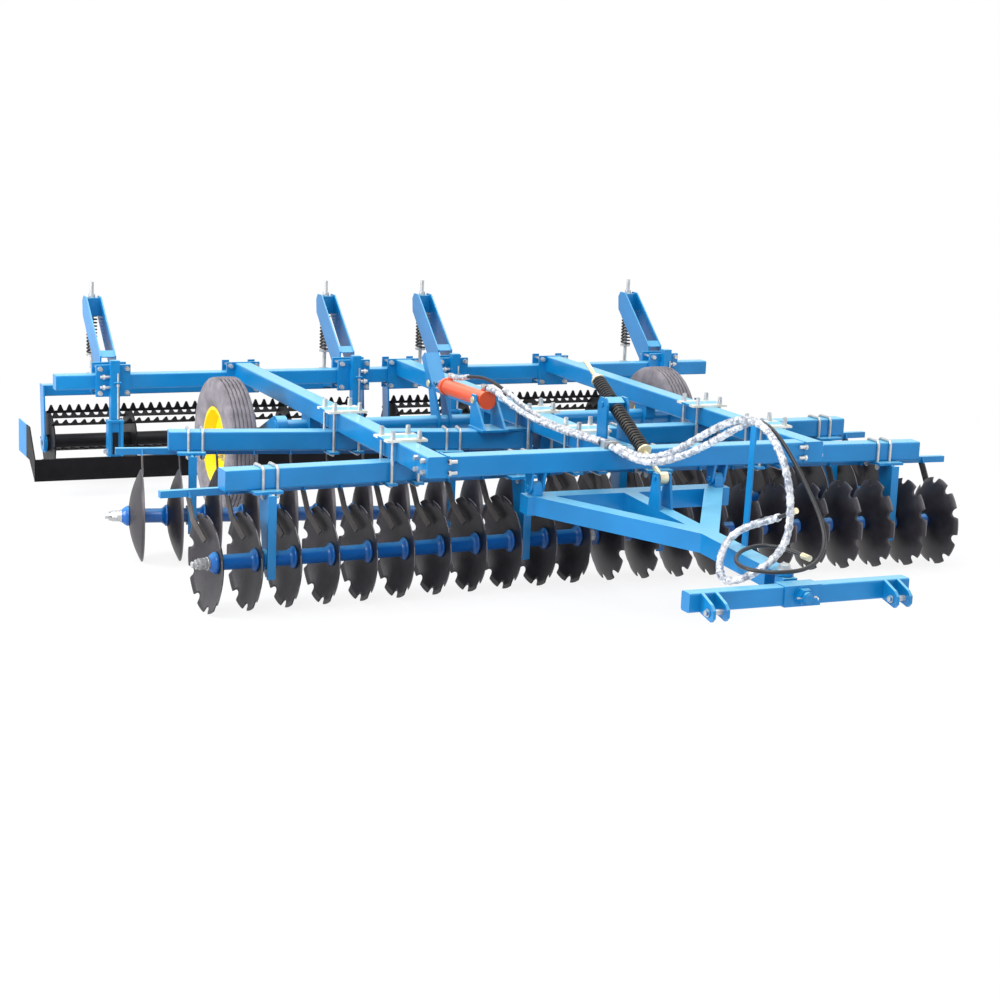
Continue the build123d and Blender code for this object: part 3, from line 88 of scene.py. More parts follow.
# --- Node trees written as expressions ---
class Value:
    """A node's output, whose sums, products and comparisons become Math nodes."""

    def __init__(self, graph, node, output=0):
        self.graph, self.node, self.output = graph, node, output

    @property
    def socket(self):
        return self.node.outputs[self.output]

    def out(self, name):
        return Value(self.graph, self.node, name)

    def math(self, operation, *others):
        return self.graph.node("ShaderNodeMath", {"operation": operation}, [self, *others])

    def __add__(self, other):
        return self.math("ADD", other)

    def __sub__(self, other):
        return self.math("SUBTRACT", other)

    def __rsub__(self, other):
        return self.graph.node("ShaderNodeMath", {"operation": "SUBTRACT"}, [other, self])

    def __mul__(self, other):
        return self.math("MULTIPLY", other)

    def __truediv__(self, other):
        return self.math("DIVIDE", other)

    def __pow__(self, other):
        return self.math("POWER", other)

    def __gt__(self, other):
        return self.math("GREATER_THAN", other)

    def __lt__(self, other):
        return self.math("LESS_THAN", other)

    __radd__ = __add__
    __rmul__ = __mul__

    def clamped(self, low, high, to_low=0.0, to_high=1.0):
        """This value's place between two others, kept within its ends."""
        return self.graph.node("ShaderNodeMapRange", {"clamp": True}, [self, low, high, to_low, to_high])


class Graph:
    """A node tree with one way to add a node: its type, its settings, then its inputs."""

    def __init__(self, tree):
        self.tree = tree
        tree.nodes.clear()

    def node(self, kind, settings=None, inputs=(), output=0):
        made = self.tree.nodes.new(kind)
        for name, setting in (settings or {}).items():
            setattr(made, name, setting)
        pairs = inputs.items() if isinstance(inputs, dict) else enumerate(inputs)
        for key, given in pairs:
            if isinstance(given, Value):
                self.tree.links.new(given.socket, made.inputs[key])
            else:
                made.inputs[key].default_value = given
        return Value(self, made, output)

    def mix(self, share, first, second):
        """A blend of two colours."""
        colours = [(*colour, 1) if isinstance(colour, tuple) else colour for colour in (first, second)]
        settings = {"data_type": "RGBA"}
        return self.node("ShaderNodeMix", settings, {0: share, 6: colours[0], 7: colours[1]}, output=2)

    def place(self):
        """The surface's place in the object's own coordinates."""
        return self.node("ShaderNodeTexCoord", {}, {}, "Object")

    def noise(self, scale, detail, roughness=0.5):
        """A number that varies over the object's own coordinates."""
        inputs = {"Vector": self.place(), "Scale": scale, "Detail": detail, "Roughness": roughness}
        return self.node("ShaderNodeTexNoise", {}, inputs, "Fac")

    def upward(self):
        """How far the surface faces up, from -1 to 1."""
        normal = self.node("ShaderNodeNewGeometry", {}, {}, "Normal")
        return self.node("ShaderNodeSeparateXYZ", {}, [normal], "Z")

    def seen(self):
        """1 for rays from the camera, and for those that metal or glass sends on to the background."""
        path = self.node("ShaderNodeLightPath", {}, {}, "Is Camera Ray")
        straight_or_mirrored = path.math("MAXIMUM", path.out("Is Glossy Ray"))
        return straight_or_mirrored.math("MAXIMUM", path.out("Is Transmission Ray"))

    def bump(self, height, strength, distance):
        inputs = {"Height": height, "Strength": strength, "Distance": distance}
        return self.node("ShaderNodeBump", {}, inputs)


# --- Finishes ---
def srgb(red, green, blue):
    """A colour from its 0-255 screen values, as light."""
    shares = [value / 255 for value in (red, green, blue)]
    return tuple(share / 12.92 if share < 0.04045 else ((share + 0.055) / 1.055) ** 2.4 for share in shares)


def material(name, build, slot=None, over=None, **fixed):
    """A material from build(graph), which gives what changes over the surface.

    slot is the record's own slot, over(graph, shader) gives what covers the surface's shader, and fixed are
    plain socket values.
    """
    made = bpy.data.materials.new(name)
    made.use_nodes = True
    graph = Graph(made.node_tree)
    sockets = build(graph)
    for key, value in fixed.items():
        sockets[key.replace("_", " ")] = value
    shader = graph.node("ShaderNodeBsdfPrincipled", {}, sockets)
    if over:
        shader = over(graph, shader)
    graph.node("ShaderNodeOutputMaterial", {}, {"Surface": shader})
    made["slot"] = slot or name
    return made


# The blue enamel's colour, then painted light for its top faces
PAINT, PAINTED_TOP_LIGHT = srgb(0, 121, 184), srgb(118, 198, 228)
DUST, DUST_SHARE = srgb(190, 205, 215), 0.12
# How far faces that look up are blended towards their painted light
PAINTED_TOP_LIGHT_SHARE = 0.80
ENAMEL_ROUGHNESS = 0.28


def enamel(colour, painted_top_light):
    """Sprayed gloss enamel: slow colour drift, orange peel, painted light that makes the top faces paler,
    and a little dust settled on them.
    """

    def build(graph):
        drift = graph.noise(2.2, 3.0)
        fine = graph.noise(60, 5.0)
        dark = tuple(part * 0.86 for part in colour)
        light = tuple(min(1.0, part * 1.10 + 0.004) for part in colour)
        base = graph.mix(drift.clamped(0.3, 0.7), dark, light)
        settled = graph.upward().clamped(0.5, 1.0) * graph.noise(9, 6.0, 0.65).clamped(0.45, 0.75)
        # Painted light: faces that look up are blended towards a paler colour, as if lit from above
        base = graph.mix(graph.upward().clamped(0.55, 0.95) * PAINTED_TOP_LIGHT_SHARE, base, painted_top_light)
        base = graph.mix(settled * DUST_SHARE, base, DUST)
        peel = graph.bump(graph.noise(420, 2.0), 0.10, 0.0006)
        roughness = ENAMEL_ROUGHNESS + fine.clamped(0.3, 0.8) * 0.10 + settled * 0.15
        return {"Base Color": base, "Roughness": roughness, "Normal": peel}

    return build


def parted(other, inside):
    """The blue enamel where inside(x, y, z) is 1, and another finish elsewhere."""

    def build(graph):
        place = graph.node("ShaderNodeSeparateXYZ", {}, [graph.place()])
        share = inside(place.out("X"), place.out("Y"), place.out("Z"))
        painted, rest = enamel(PAINT, PAINTED_TOP_LIGHT)(graph), other(graph)
        base = graph.mix(share, rest["Base Color"], painted["Base Color"])
        roughness = rest["Roughness"] + share * (painted["Roughness"] - rest["Roughness"])
        return {"Base Color": base, "Roughness": roughness, "Normal": rest["Normal"]}

    return build


def blade_steel(graph):
    """Dark scale on rolled strip, brown where it has dulled."""
    drift = graph.noise(14, 5.0, 0.6)
    base = graph.mix(drift.clamped(0.35, 0.7), srgb(48, 44, 44), srgb(84, 76, 72))
    grain = graph.bump(graph.noise(240, 3.0), 0.15, 0.0006)
    return {"Base Color": base, "Roughness": 0.40 + drift * 0.2, "Normal": grain}


def black_enamel(graph):
    """Dipped satin black with a brownish bloom and small bright rubs."""
    drift = graph.noise(7, 5.0, 0.6)
    rubs = graph.noise(55, 6.0, 0.7).clamped(0.64, 0.72)
    base = graph.mix(drift.clamped(0.35, 0.7), srgb(7, 7, 11), srgb(18, 17, 22))
    base = graph.mix(rubs * 0.25, base, srgb(78, 78, 88))
    grain = graph.bump(graph.noise(260, 3.0), 0.18, 0.0008)
    return {"Base Color": base, "Roughness": 0.36 + drift * 0.22, "Normal": grain}


def disc_steel(graph):
    """Rolled steel under a thin dark coat: rings from the rolling, paler towards the rim."""
    ring = graph.node("ShaderNodeAttribute", {"attribute_name": "ring"}, {}, "Fac")
    inputs = {"W": ring * 60, "Scale": 1.0, "Detail": 3.0}
    lines = graph.node("ShaderNodeTexNoise", {"noise_dimensions": "1D"}, inputs, "Fac")
    cloud = graph.noise(9, 6.0, 0.62)
    base = graph.mix(cloud.clamped(0.35, 0.68), srgb(24, 23, 29), srgb(50, 47, 54))
    base = graph.mix(ring.clamped(0.50, 1.0) * 0.25, base, srgb(72, 67, 70))
    base = graph.mix(ring.clamped(0.985, 1.0) * 0.35, base, srgb(140, 136, 138))
    grain = graph.bump(lines * 0.25 + graph.noise(300, 2.0) * 0.3, 0.10, 0.0005)
    return {"Base Color": base, "Roughness": 0.36 + cloud * 0.18, "Normal": grain}


def tread_rubber(graph):
    """Weathered tyre rubber: a clouded grey with dusty specks."""
    cloud = graph.noise(11, 6.0, 0.6)
    fine = graph.noise(180, 4.0, 0.6)
    base = graph.mix(cloud.clamped(0.3, 0.75), srgb(104, 100, 106), srgb(146, 140, 146))
    base = graph.mix(fine.clamped(0.55, 0.8) * 0.4, base, srgb(172, 164, 162))
    return {"Base Color": base, "Roughness": 0.72 + fine * 0.15, "Normal": graph.bump(fine, 0.25, 0.0012)}


def hose_rubber(graph):
    """Smooth black hose cover with a fine grain and pale scuffs."""
    scuff = graph.noise(70, 5.0, 0.7).clamped(0.6, 0.75)
    base = graph.mix(scuff * 0.3, srgb(34, 34, 38), srgb(96, 96, 100))
    grain = graph.bump(graph.noise(500, 2.0), 0.2, 0.0004)
    return {"Base Color": base, "Roughness": 0.38 + scuff * 0.2, "Normal": grain}


def film(graph):
    """Crinkled wrapping film: white and silver folds, with painted shade in its creases."""
    fold = graph.noise(30, 6.0, 0.66)
    small = graph.noise(110, 4.0, 0.6)
    base = graph.mix(fold.clamped(0.38, 0.60), srgb(122, 128, 142), srgb(236, 238, 242))
    # Painted shade: dark patches for the film's creases
    base = graph.mix(small.clamped(0.58, 0.68) * 0.60, base, srgb(74, 78, 92))
    creases = graph.bump(fold + small * 0.4, 0.8, 0.004)
    return {"Base Color": base, "Roughness": 0.18 + small * 0.25, "Normal": creases}


def plated(first, second, rough):
    """Plated steel: a satin skin whose tint wanders."""

    def build(graph):
        tint = graph.noise(16, 5.0, 0.6)
        grain = graph.bump(graph.noise(340, 3.0), 0.12, 0.0004)
        base = graph.mix(tint.clamped(0.35, 0.68), first, second)
        return {"Base Color": base, "Roughness": rough + tint * 0.14, "Normal": grain}

    return build


SCRAPER_BAR_BOTTOM = 0.6125
BOARD_END_X, BOARD_END_Y = 2.7119, 2.62
CLAMP_BARE, STRAP_TOP = 0.052, 0.75


def on_scraper_bar(x, y, z):
    return z > SCRAPER_BAR_BOTTOM


def on_board_end(x, y, z):
    """The levelling boards' outer end faces, behind their posts."""
    return (x.math("ABSOLUTE") > BOARD_END_X) * (y > BOARD_END_Y)


def between_clamp_ends(x, y, z):
    """Where a clamp is painted: its plate's middle, between the two bare bars, and its straps below."""
    slope = {name: tan(radians(degrees)) for name, degrees in GANG_DEGREES.items()}
    front = y + x.math("ABSOLUTE") * slope["front_left"] - BEAM_Y["front"]
    right, left = x.math("MAXIMUM", 0.0) * slope["rear_right"], x.math("MINIMUM", 0.0) * slope["rear_left"]
    rear = y - right + left - BEAM_Y["rear"]
    away = front.math("ABSOLUTE").math("MINIMUM", rear.math("ABSOLUTE"))
    return (away < CLAMP_BARE).math("MAXIMUM", z < STRAP_TOP)


BLUE_COAT = {"Coat_Weight": 0.12, "Coat_Roughness": 0.10, "Specular_IOR_Level": 0.4}
WARM_COAT = {"Coat_Weight": 0.30, "Coat_Roughness": 0.12}
# The second colour given to each enamel is painted light for its top faces
BLUE = material("blue_paint", enamel(PAINT, PAINTED_TOP_LIGHT), **BLUE_COAT)
# The spools: the frame's blue darkened as painted shade for their place under the beams, with painted light
# on their tops
SHADED_SPOOL = material("shaded_spool_paint", enamel(srgb(0, 90, 168), srgb(64, 146, 208)), "blue_paint", **BLUE_COAT)
ORANGE = material("orange_paint", enamel(srgb(230, 82, 28), srgb(236, 134, 94)), **WARM_COAT)
YELLOW = material("yellow_paint", enamel(srgb(250, 214, 14), srgb(252, 226, 90)), **WARM_COAT)
BLACK = material("black_paint", black_enamel, Specular_IOR_Level=0.22)
SCRAPER = material("scraper_paint", parted(blade_steel, on_scraper_bar), "black_paint")
BOARD = material("board_paint", parted(black_enamel, on_board_end), "black_paint", Specular_IOR_Level=0.15)
DISC = material("disc_steel", disc_steel, Metallic=0.25)
PALE_PLATE = plated(srgb(206, 202, 186), srgb(232, 230, 222), 0.34)
CLAMP = material("clamp_zinc", parted(PALE_PLATE, between_clamp_ends), "zinc_steel")
TYRE = material("tyre", tread_rubber, Specular_IOR_Level=0.35)
HOSE = material("hose", hose_rubber)
FILM = material("film", film, "hose", Metallic=0.25, Coat_Weight=0.6, Coat_Roughness=0.15)
ZINC = material("zinc_steel", plated(srgb(176, 179, 182), srgb(212, 213, 212), 0.30), Metallic=0.75)
YELLOW_ZINC = plated(srgb(214, 200, 160), srgb(232, 224, 196), 0.34)
STRAW = material("straw_zinc", YELLOW_ZINC, "zinc_steel", Metallic=0.60)
CHROME = material("chrome", plated(srgb(205, 206, 210), srgb(225, 226, 230), 0.10), Metallic=1.0)
SPRING = material("spring_steel", black_enamel, "blue_paint", Specular_IOR_Level=0.6)


# --- Meshes ---
BEND_STEPS = 5
SHARP_ANGLE = radians(35)
WELD = 1e-5
CHAMFER = 0.002


def plane_axes(axis):
    """Two directions square to an axis."""
    axis = Vector(axis).normalized()
    first = axis.cross(UP if abs(axis.z) < 0.9 else ACROSS).normalized()
    return axis, first, axis.cross(first)


def turns(count):
    """Angles that share a full turn evenly."""
    return [2 * pi * step / count for step in range(count)]


def quarter_bend(radius):
    """A quarter bend's points, as pairs of how far in from its side and how far from its top they are."""
    return [(radius * (1 - cos(t)), radius * (1 - sin(t))) for t in turns(4 * BEND_STEPS)[:BEND_STEPS + 1]]


class Shape:
    """The points and faces of one piece, gathered from simpler forms."""

    def __init__(self):
        self.points, self.faces, self.smooth = [], [], []

    def take(self, points, faces, smooth=False):
        first = len(self.points)
        self.points += [Vector(point) for point in points]
        self.faces += [tuple(first + index for index in face) for face in faces]
        self.smooth += [smooth] * len(faces)

    def rings(self, rings, smooth=True, closed=False):
        """A skin over rings of equally many points, each joined to the next, and capped unless it closes."""
        count = len(rings[0])
        faces = []
        for row in range(len(rings) if closed else len(rings) - 1):
            near, far = row * count, (row + 1) % len(rings) * count
            pairs = [(i, (i + 1) % count) for i in range(count)]
            faces += [(near + i, near + j, far + j, far + i) for i, j in pairs]
        self.take([point for ring in rings for point in ring], faces, smooth)
        if not closed:
            for ring, order in ((rings[0], -1), (rings[-1], 1)):
                self.take(ring[::order], [tuple(range(count))])

    def lathe(self, profile, origin, axis, segments, smooth=True):
        """A turned form from pairs of a place along the axis and a radius."""
        axis, first, second = plane_axes(axis)
        origin = Vector(origin)
        spokes = [first * cos(t) + second * sin(t) for t in turns(segments)]
        rings = [[origin + axis * along + radius * spoke for spoke in spokes] for along, radius in profile]
        self.rings(rings, smooth)

    def collar(self, start, axis, radius, length, segments):
        """A plain round piece along an axis."""
        self.lathe([(0, radius), (length, radius)], start, axis, segments)

    def hexagon(self, start, axis, radius, length):
        """A nut's or a head's six sides, from the radius of its corners."""
        self.lathe([(0, radius), (length, radius)], start, axis, 6, smooth=False)

    def rod(self, start, end, radius, segments, chamfer=0.0):
        """A bar from one point to another; a chamfer takes its ends' edges off."""
        start, end = Vector(start), Vector(end)
        length = (end - start).length
        profile = [(0, radius), (length, radius)]
        if chamfer:
            tip = radius - chamfer
            profile = [(0, tip), (chamfer, radius), (length - chamfer, radius), (length, tip)]
        self.lathe(profile, start, end - start, segments)

    def tube(self, path, radius, sides):
        """A bar along a path with closed ends; a radius that varies is a function of its index and turn."""
        size = radius if callable(radius) else lambda index, turn: radius
        path = [Vector(point) for point in path]
        rings = []
        normal = plane_axes(path[1] - path[0])[1]
        for index, point in enumerate(path):
            ahead = (path[min(index + 1, len(path) - 1)] - path[max(index - 1, 0)]).normalized()
            normal = (normal - ahead * normal.dot(ahead)).normalized()
            other = ahead.cross(normal)
            rings.append([point + size(index, t) * (normal * cos(t) + other * sin(t)) for t in turns(sides)])
        self.rings(rings)

    def prism(self, outline, origin, right, up, thick):
        """A flat plate from its outline in two directions, centred on its thickness."""
        right, up = Vector(right).normalized(), Vector(up).normalized()
        normal = right.cross(up) * (thick / 2)
        flat = [Vector(origin) + right * a + up * b for a, b in outline]
        self.rings([[p - normal for p in flat], [p + normal for p in flat]], smooth=False)

    def box(self, centre, size, right=ACROSS, ahead=REARWARD):
        """A block from its sizes to the right, ahead and up."""
        width, depth, height = size
        outline = [(a * width / 2, b * depth / 2) for a, b in ((-1, -1), (1, -1), (1, 1), (-1, 1))]
        self.prism(outline, centre, right, ahead, height)

    def mesh(self, name):
        """The gathered form as one mesh, welded, its faces outwards and its sharp edges marked."""
        mesh = bpy.data.meshes.new(name)
        mesh.from_pydata([tuple(point) for point in self.points], [], self.faces)
        mesh.polygons.foreach_set("use_smooth", self.smooth)
        form = bmesh.new()
        form.from_mesh(mesh)
        bmesh.ops.remove_doubles(form, verts=form.verts, dist=WELD)
        bmesh.ops.recalc_face_normals(form, faces=form.faces)
        for edge in form.edges:
            edge.smooth = edge.calc_face_angle(0.0) < SHARP_ANGLE
        form.to_mesh(mesh)
        form.free()
        return mesh


def piece(name, shape, finish, body, replaces=()):
    """One object with one finish, riding on one body."""
    mesh = shape.mesh(name) if isinstance(shape, Shape) else shape
    made = bpy.data.objects.new(name, mesh)
    bpy.context.collection.objects.link(made)
    if not mesh.materials:
        mesh.materials.append(finish)
    if body:
        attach(made, body)
    if replaces:
        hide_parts(*replaces)
    return made


# --- Geometry Nodes: nuts, springs and discs ---
FLOAT, COUNT, MATTER = "NodeSocketFloat", "NodeSocketInt", "NodeSocketMaterial"
HEX_CORNER = 0.577


def grown(name, tree, points, inputs, attributes):
    """A plain mesh from a Geometry Nodes tree over some points, its inputs given by name."""
    mesh = bpy.data.meshes.new(name)
    mesh.from_pydata([tuple(point) for point in points], [], [])
    for key, kind, values in attributes:
        attribute = mesh.attributes.new(key, kind, "POINT")
        for item, value in zip(attribute.data, values):
            setattr(item, "vector" if kind == "FLOAT_VECTOR" else "value", value)
    holder = bpy.data.objects.new(name, mesh)
    bpy.context.collection.objects.link(holder)
    modifier = holder.modifiers.new(name, "NODES")
    modifier.node_group = tree
    for item in tree.interface.items_tree:
        if item.item_type == "SOCKET" and item.in_out == "INPUT" and item.name in inputs:
            modifier[item.identifier] = inputs[item.name]
    bpy.context.view_layer.update()
    result = bpy.data.meshes.new_from_object(holder.evaluated_get(bpy.context.evaluated_depsgraph_get()))
    holder.modifiers.remove(modifier)
    bpy.data.objects.remove(holder)
    result.name = name
    return result


def growth(name, inputs):
    """A Geometry Nodes tree with a geometry in and out, and named inputs for its sizes."""
    tree = bpy.data.node_groups.new(name, "GeometryNodeTree")
    tree.interface.new_socket("Geometry", in_out="INPUT", socket_type="NodeSocketGeometry")
    for key, kind, value in inputs:
        socket = tree.interface.new_socket(key, in_out="INPUT", socket_type=kind)
        if value is not None:
            socket.default_value = value
    tree.interface.new_socket("Geometry", in_out="OUTPUT", socket_type="NodeSocketGeometry")
    graph = Graph(tree)
    return graph, graph.node("NodeGroupInput")


def grown_out(graph, geometry, given):
    """Ends a tree in real faces of one material."""
    real = graph.node("GeometryNodeRealizeInstances", {}, [geometry])
    inputs = {"Geometry": real, "Material": given.out("Material")}
    dressed = graph.node("GeometryNodeSetMaterial", {}, inputs)
    graph.node("NodeGroupOutput", {}, [dressed])
    return graph.tree


def placed(graph, form, given):
    """Copies of a form on the tree's points, turned to each point's own axis and sized by it."""
    axis = graph.node("GeometryNodeInputNamedAttribute", {"data_type": "FLOAT_VECTOR"}, {"Name": "axis"})
    size = graph.node("GeometryNodeInputNamedAttribute", {"data_type": "FLOAT"}, {"Name": "size"})
    turn = graph.node("FunctionNodeAlignRotationToVector", {"axis": "Z"}, {"Vector": axis})
    inputs = {"Points": given.out("Geometry"), "Instance": form, "Rotation": turn, "Scale": size}
    return graph.node("GeometryNodeInstanceOnPoints", {}, inputs)


def cylinder(graph, sides, radius, depth, raised):
    """A closed cylinder about Z whose foot stands at a height."""
    inputs = {"Vertices": sides, "Radius": radius, "Depth": depth}
    form = graph.node("GeometryNodeMeshCylinder", {"fill_type": "NGON"}, inputs)
    place = graph.node("ShaderNodeCombineXYZ", {}, [0.0, 0.0, raised + depth / 2])
    return graph.node("GeometryNodeTransform", {}, {"Geometry": form, "Translation": place})


def joined(graph, *forms):
    """Several forms as one."""
    made = graph.node("GeometryNodeJoinGeometry")
    for form in forms:
        graph.tree.links.new(form.socket, made.node.inputs[0])
    return made


def nut_tree():
    """A hexagon on its washer with the stud's end through it, one unit across its flats."""
    graph, given = growth("nut", [
        ("Height", FLOAT, 0.8), ("Washer", FLOAT, 1.0), ("Stud radius", FLOAT, 0.31),
        ("Stud out", FLOAT, 0.5), ("Material", MATTER, None),
    ])
    height, washer = given.out("Height"), 0.14
    hexagon = cylinder(graph, 6, HEX_CORNER, height, washer)
    ring = cylinder(graph, 20, given.out("Washer"), washer, 0.0)
    stud = cylinder(graph, 12, given.out("Stud radius"), height + given.out("Stud out"), washer)
    return grown_out(graph, placed(graph, joined(graph, hexagon, ring, stud), given), given)


def coil_tree():
    """A coil spring about Z, one unit high."""
    graph, given = growth("coil", [
        ("Turns", FLOAT, 8.0), ("Radius", FLOAT, 0.2), ("Wire", FLOAT, 0.03),
        ("Steps", COUNT, 22), ("Material", MATTER, None),
    ])
    radius = given.out("Radius")
    line = graph.node("GeometryNodeCurveSpiral", {}, {
        "Resolution": given.out("Steps"), "Rotations": given.out("Turns"), "Start Radius": radius,
        "End Radius": radius, "Height": 1.0,
    })
    inputs = {"Resolution": 8, "Radius": given.out("Wire")}
    section = graph.node("GeometryNodeCurvePrimitiveCircle", {}, inputs)
    inputs = {"Curve": line, "Profile Curve": section, "Fill Caps": True}
    wire = graph.node("GeometryNodeCurveToMesh", {}, inputs)
    return grown_out(graph, placed(graph, wire, given), given)


def disc_tree():
    """A dished disc about Z with bites in its rim.

    A grid is bent into rings, which run out on one face and back on the other.
    """
    graph, given = growth("disc", [
        ("Radius", FLOAT, 0.280), ("Hub radius", FLOAT, 0.07), ("Bore", FLOAT, 0.02),
        ("Depth", FLOAT, 0.070), ("Thickness", FLOAT, 0.006), ("Notches", FLOAT, 10.0),
        ("Notch depth", FLOAT, 0.035), ("Notch half width", FLOAT, 0.032), ("Around", COUNT, 181),
        ("Material", MATTER, None),
    ])
    rows, crowd, notch_room, hair, weld = 16, 0.6, 2.4, 1e-5, 0.0002
    grid = graph.node("GeometryNodeMeshGrid", {}, {
        "Size X": 1.0, "Size Y": 1.0, "Vertices X": given.out("Around"), "Vertices Y": rows})
    split = graph.node("ShaderNodeSeparateXYZ", {}, [graph.node("GeometryNodeInputPosition")])
    around, across = split.out("X") + 0.5, split.out("Y") + 0.5
    # The share of each lobe's points in crowd goes to its notch and the room beside it, so that the bite is
    # round; a hair's shift keeps each lobe's first point on its own side
    notches, radius = given.out("Notches"), given.out("Radius")
    lobe = (around * notches + hair).math("FRACT")
    whole = (around * notches + hair).math("FLOOR")
    pitch = 2 * pi * radius / notches
    share = given.out("Notch half width") * notch_room / pitch
    in_notch = lobe.clamped(0.0, crowd, 0.0, share)
    past = lobe.clamped(crowd, 1.0, share, 1.0)
    spread = in_notch + (lobe > crowd) * (past - in_notch)
    angle = (whole + spread - share / 2) / notches * (2 * pi)
    off = (spread - share / 2) * pitch / given.out("Notch half width")
    bite = (1 - off * off).math("MAXIMUM", 0.0) ** 0.5 * given.out("Notch depth")
    reach = ((1 - (across * 2 - 1).math("ABSOLUTE")) / (1 - 1 / (rows - 1))).math("MINIMUM", 1.0) ** 0.8
    bore, hub = given.out("Bore"), given.out("Hub radius")
    # The inner rings stay round and only the outer ones follow the notches
    out = bore + (radius - bore) * reach - bite * reach ** 5.0
    dished = 1 - (out * out - hub * hub) / (radius * radius - hub * hub)
    height = dished.math("MINIMUM", 1.0) * given.out("Depth") - (across > 0.5) * given.out("Thickness")
    east, north = out * angle.math("COSINE"), out * angle.math("SINE")
    at = graph.node("ShaderNodeCombineXYZ", {}, [east, north, height])
    bent = graph.node("GeometryNodeSetPosition", {}, {"Geometry": grid, "Position": at})
    merged = graph.node("GeometryNodeMergeByDistance", {}, {"Geometry": bent, "Distance": weld})
    smooth = graph.node("GeometryNodeSetShadeSmooth", {}, {"Geometry": merged})
    # Stored on the bent disc, where the place node gives each point's distance from the axle
    from_axle = (split.out("X") * split.out("X") + split.out("Y") * split.out("Y")) ** 0.5
    stored = graph.node("GeometryNodeStoreNamedAttribute", {"data_type": "FLOAT", "domain": "POINT"}, {
        "Geometry": smooth, "Name": "ring", "Value": from_axle / radius})
    return grown_out(graph, placed(graph, stored, given), given)


NUT, COIL, DISHED = nut_tree(), coil_tree(), disc_tree()


def nuts(name, body, finish, rows, **inputs):
    """Nuts in rows of a place, an outward axis and a size across the flats."""
    points, axes, sizes = zip(*[(Vector(p), Vector(a).normalized(), s) for p, a, s in rows])
    attributes = [("axis", "FLOAT_VECTOR", axes), ("size", "FLOAT", sizes)]
    inputs = {key.replace("_", " "): value for key, value in inputs.items()}
    mesh = grown(name, NUT, points, {"Material": finish, **inputs}, attributes)
    return piece(name, mesh, finish, body)


# --- Cords: the four hydraulic hoses, over the same points as their solids ---
HOSE_DIAMETER = 0.022
CAP_PIN = Vector((-0.3, 0.228, 0.969))
LEVER_PIN = Vector((-0.3, 1.038, 0.953))
STROKE = (LEVER_PIN - CAP_PIN).normalized()
PORT_UP = STROKE.cross(-ACROSS)
ELBOW_UP, ELBOW_REACH = 0.080, 0.046
PORT_PLACES = {"rod": 0.570, "cap": 0.016}
UNION_X = {"rod": -0.105, "cap": -0.148}
UNION_Z, UNION_BACK, UNION_FRONT = 0.928, -1.175, -1.245
FIRST_RUN = 0.056
BLEND_RUN = Vector((0.1, -0.9, 0))

REAR_POINTS = {
    "rod": (
        (-299, 610, 1052), (-287, 490, 1078), (-260, 345, 1092), (-230, 190, 1070), (-206, 30, 1026),
        (-176, -140, 965), (-158, -320, 935), (-150, -510, 926), (-150, -720, 928), (-142, -900, 932),
        (-118, -1020, 930), (-105, -1105, 928),
    ),
    "cap": (
        (-298, 50, 1045), (-284, -80, 1010), (-254, -220, 968), (-220, -380, 938), (-194, -560, 928),
        (-187, -760, 926), (-176, -920, 931), (-158, -1030, 930), (-148, -1105, 928),
    ),
}
FRONT_POINTS = {
    "rod": (
        (-105, -1315, 928), (-92, -1440, 913), (-65, -1580, 917), (-35, -1720, 958), (-5, -1870, 1035),
        (20, -2020, 1120), (44, -2175, 1202), (60, -2315, 1255), (68, -2430, 1274), (74, -2545, 1266),
        (84, -2650, 1212), (91, -2740, 1125), (94, -2805, 1020), (94, -2838, 915), (88, -2857, 815),
        (55, -2885, 720), (-20, -2920, 655), (-100, -2930, 600), (-175, -2900, 550), (-220, -2820, 510),
        (-215, -2720, 500), (-175, -2620, 530), (-120, -2540, 595), (-50, -2500, 665), (30, -2510, 715),
        (90, -2580, 755), (130, -2670, 795), (142, -2755, 835),
    ),
    "cap": (
        (-148, -1315, 928), (-133, -1450, 906), (-105, -1600, 898), (-70, -1750, 925), (-30, -1895, 985),
        (9, -2048, 1061), (54, -2195, 1150), (84, -2325, 1228), (100, -2432, 1271), (107, -2545, 1268),
        (122, -2650, 1215), (145, -2740, 1130), (169, -2825, 1030), (190, -2905, 930), (203, -2975, 835),
        (194, -3035, 745), (140, -3075, 660), (40, -3105, 625), (-70, -3115, 620), (-165, -3065, 615),
        (-215, -2970, 610), (-210, -2860, 610), (-165, -2760, 620), (-85, -2690, 640), (15, -2675, 655),
        (95, -2720, 655), (138, -2810, 650), (148, -2900, 645),
    ),
}


def metres(points):
    """Route points from millimetres."""
    return [Vector(point) / 1000 for point in points]


def smooth_line(name, points):
    """The points along one smooth curve that the given points steer."""
    curve = bpy.data.curves.new(name, "CURVE")
    curve.dimensions = "3D"
    curve.resolution_u = 10
    spline = curve.splines.new("NURBS")
    spline.points.add(len(points) - 1)
    for item, point in zip(spline.points, points):
        item.co = (*point, 1)
    spline.order_u = 3
    spline.use_endpoint_u = True
    holder = bpy.data.objects.new(name, curve)
    bpy.context.collection.objects.link(holder)
    bpy.context.view_layer.update()
    line = bpy.data.meshes.new_from_object(holder.evaluated_get(bpy.context.evaluated_depsgraph_get()))
    path = [vertex.co.copy() for vertex in line.vertices]
    bpy.data.objects.remove(holder)
    return path


def length_of(path):
    return sum((b - a).length for a, b in zip(path, path[1:]))


FOLDS = ((0.0014, 17.1, 0.0), (0.0012, 5.3, 1.0), (0.0008, 41.7, 0.0))
TWIST = 0.0016


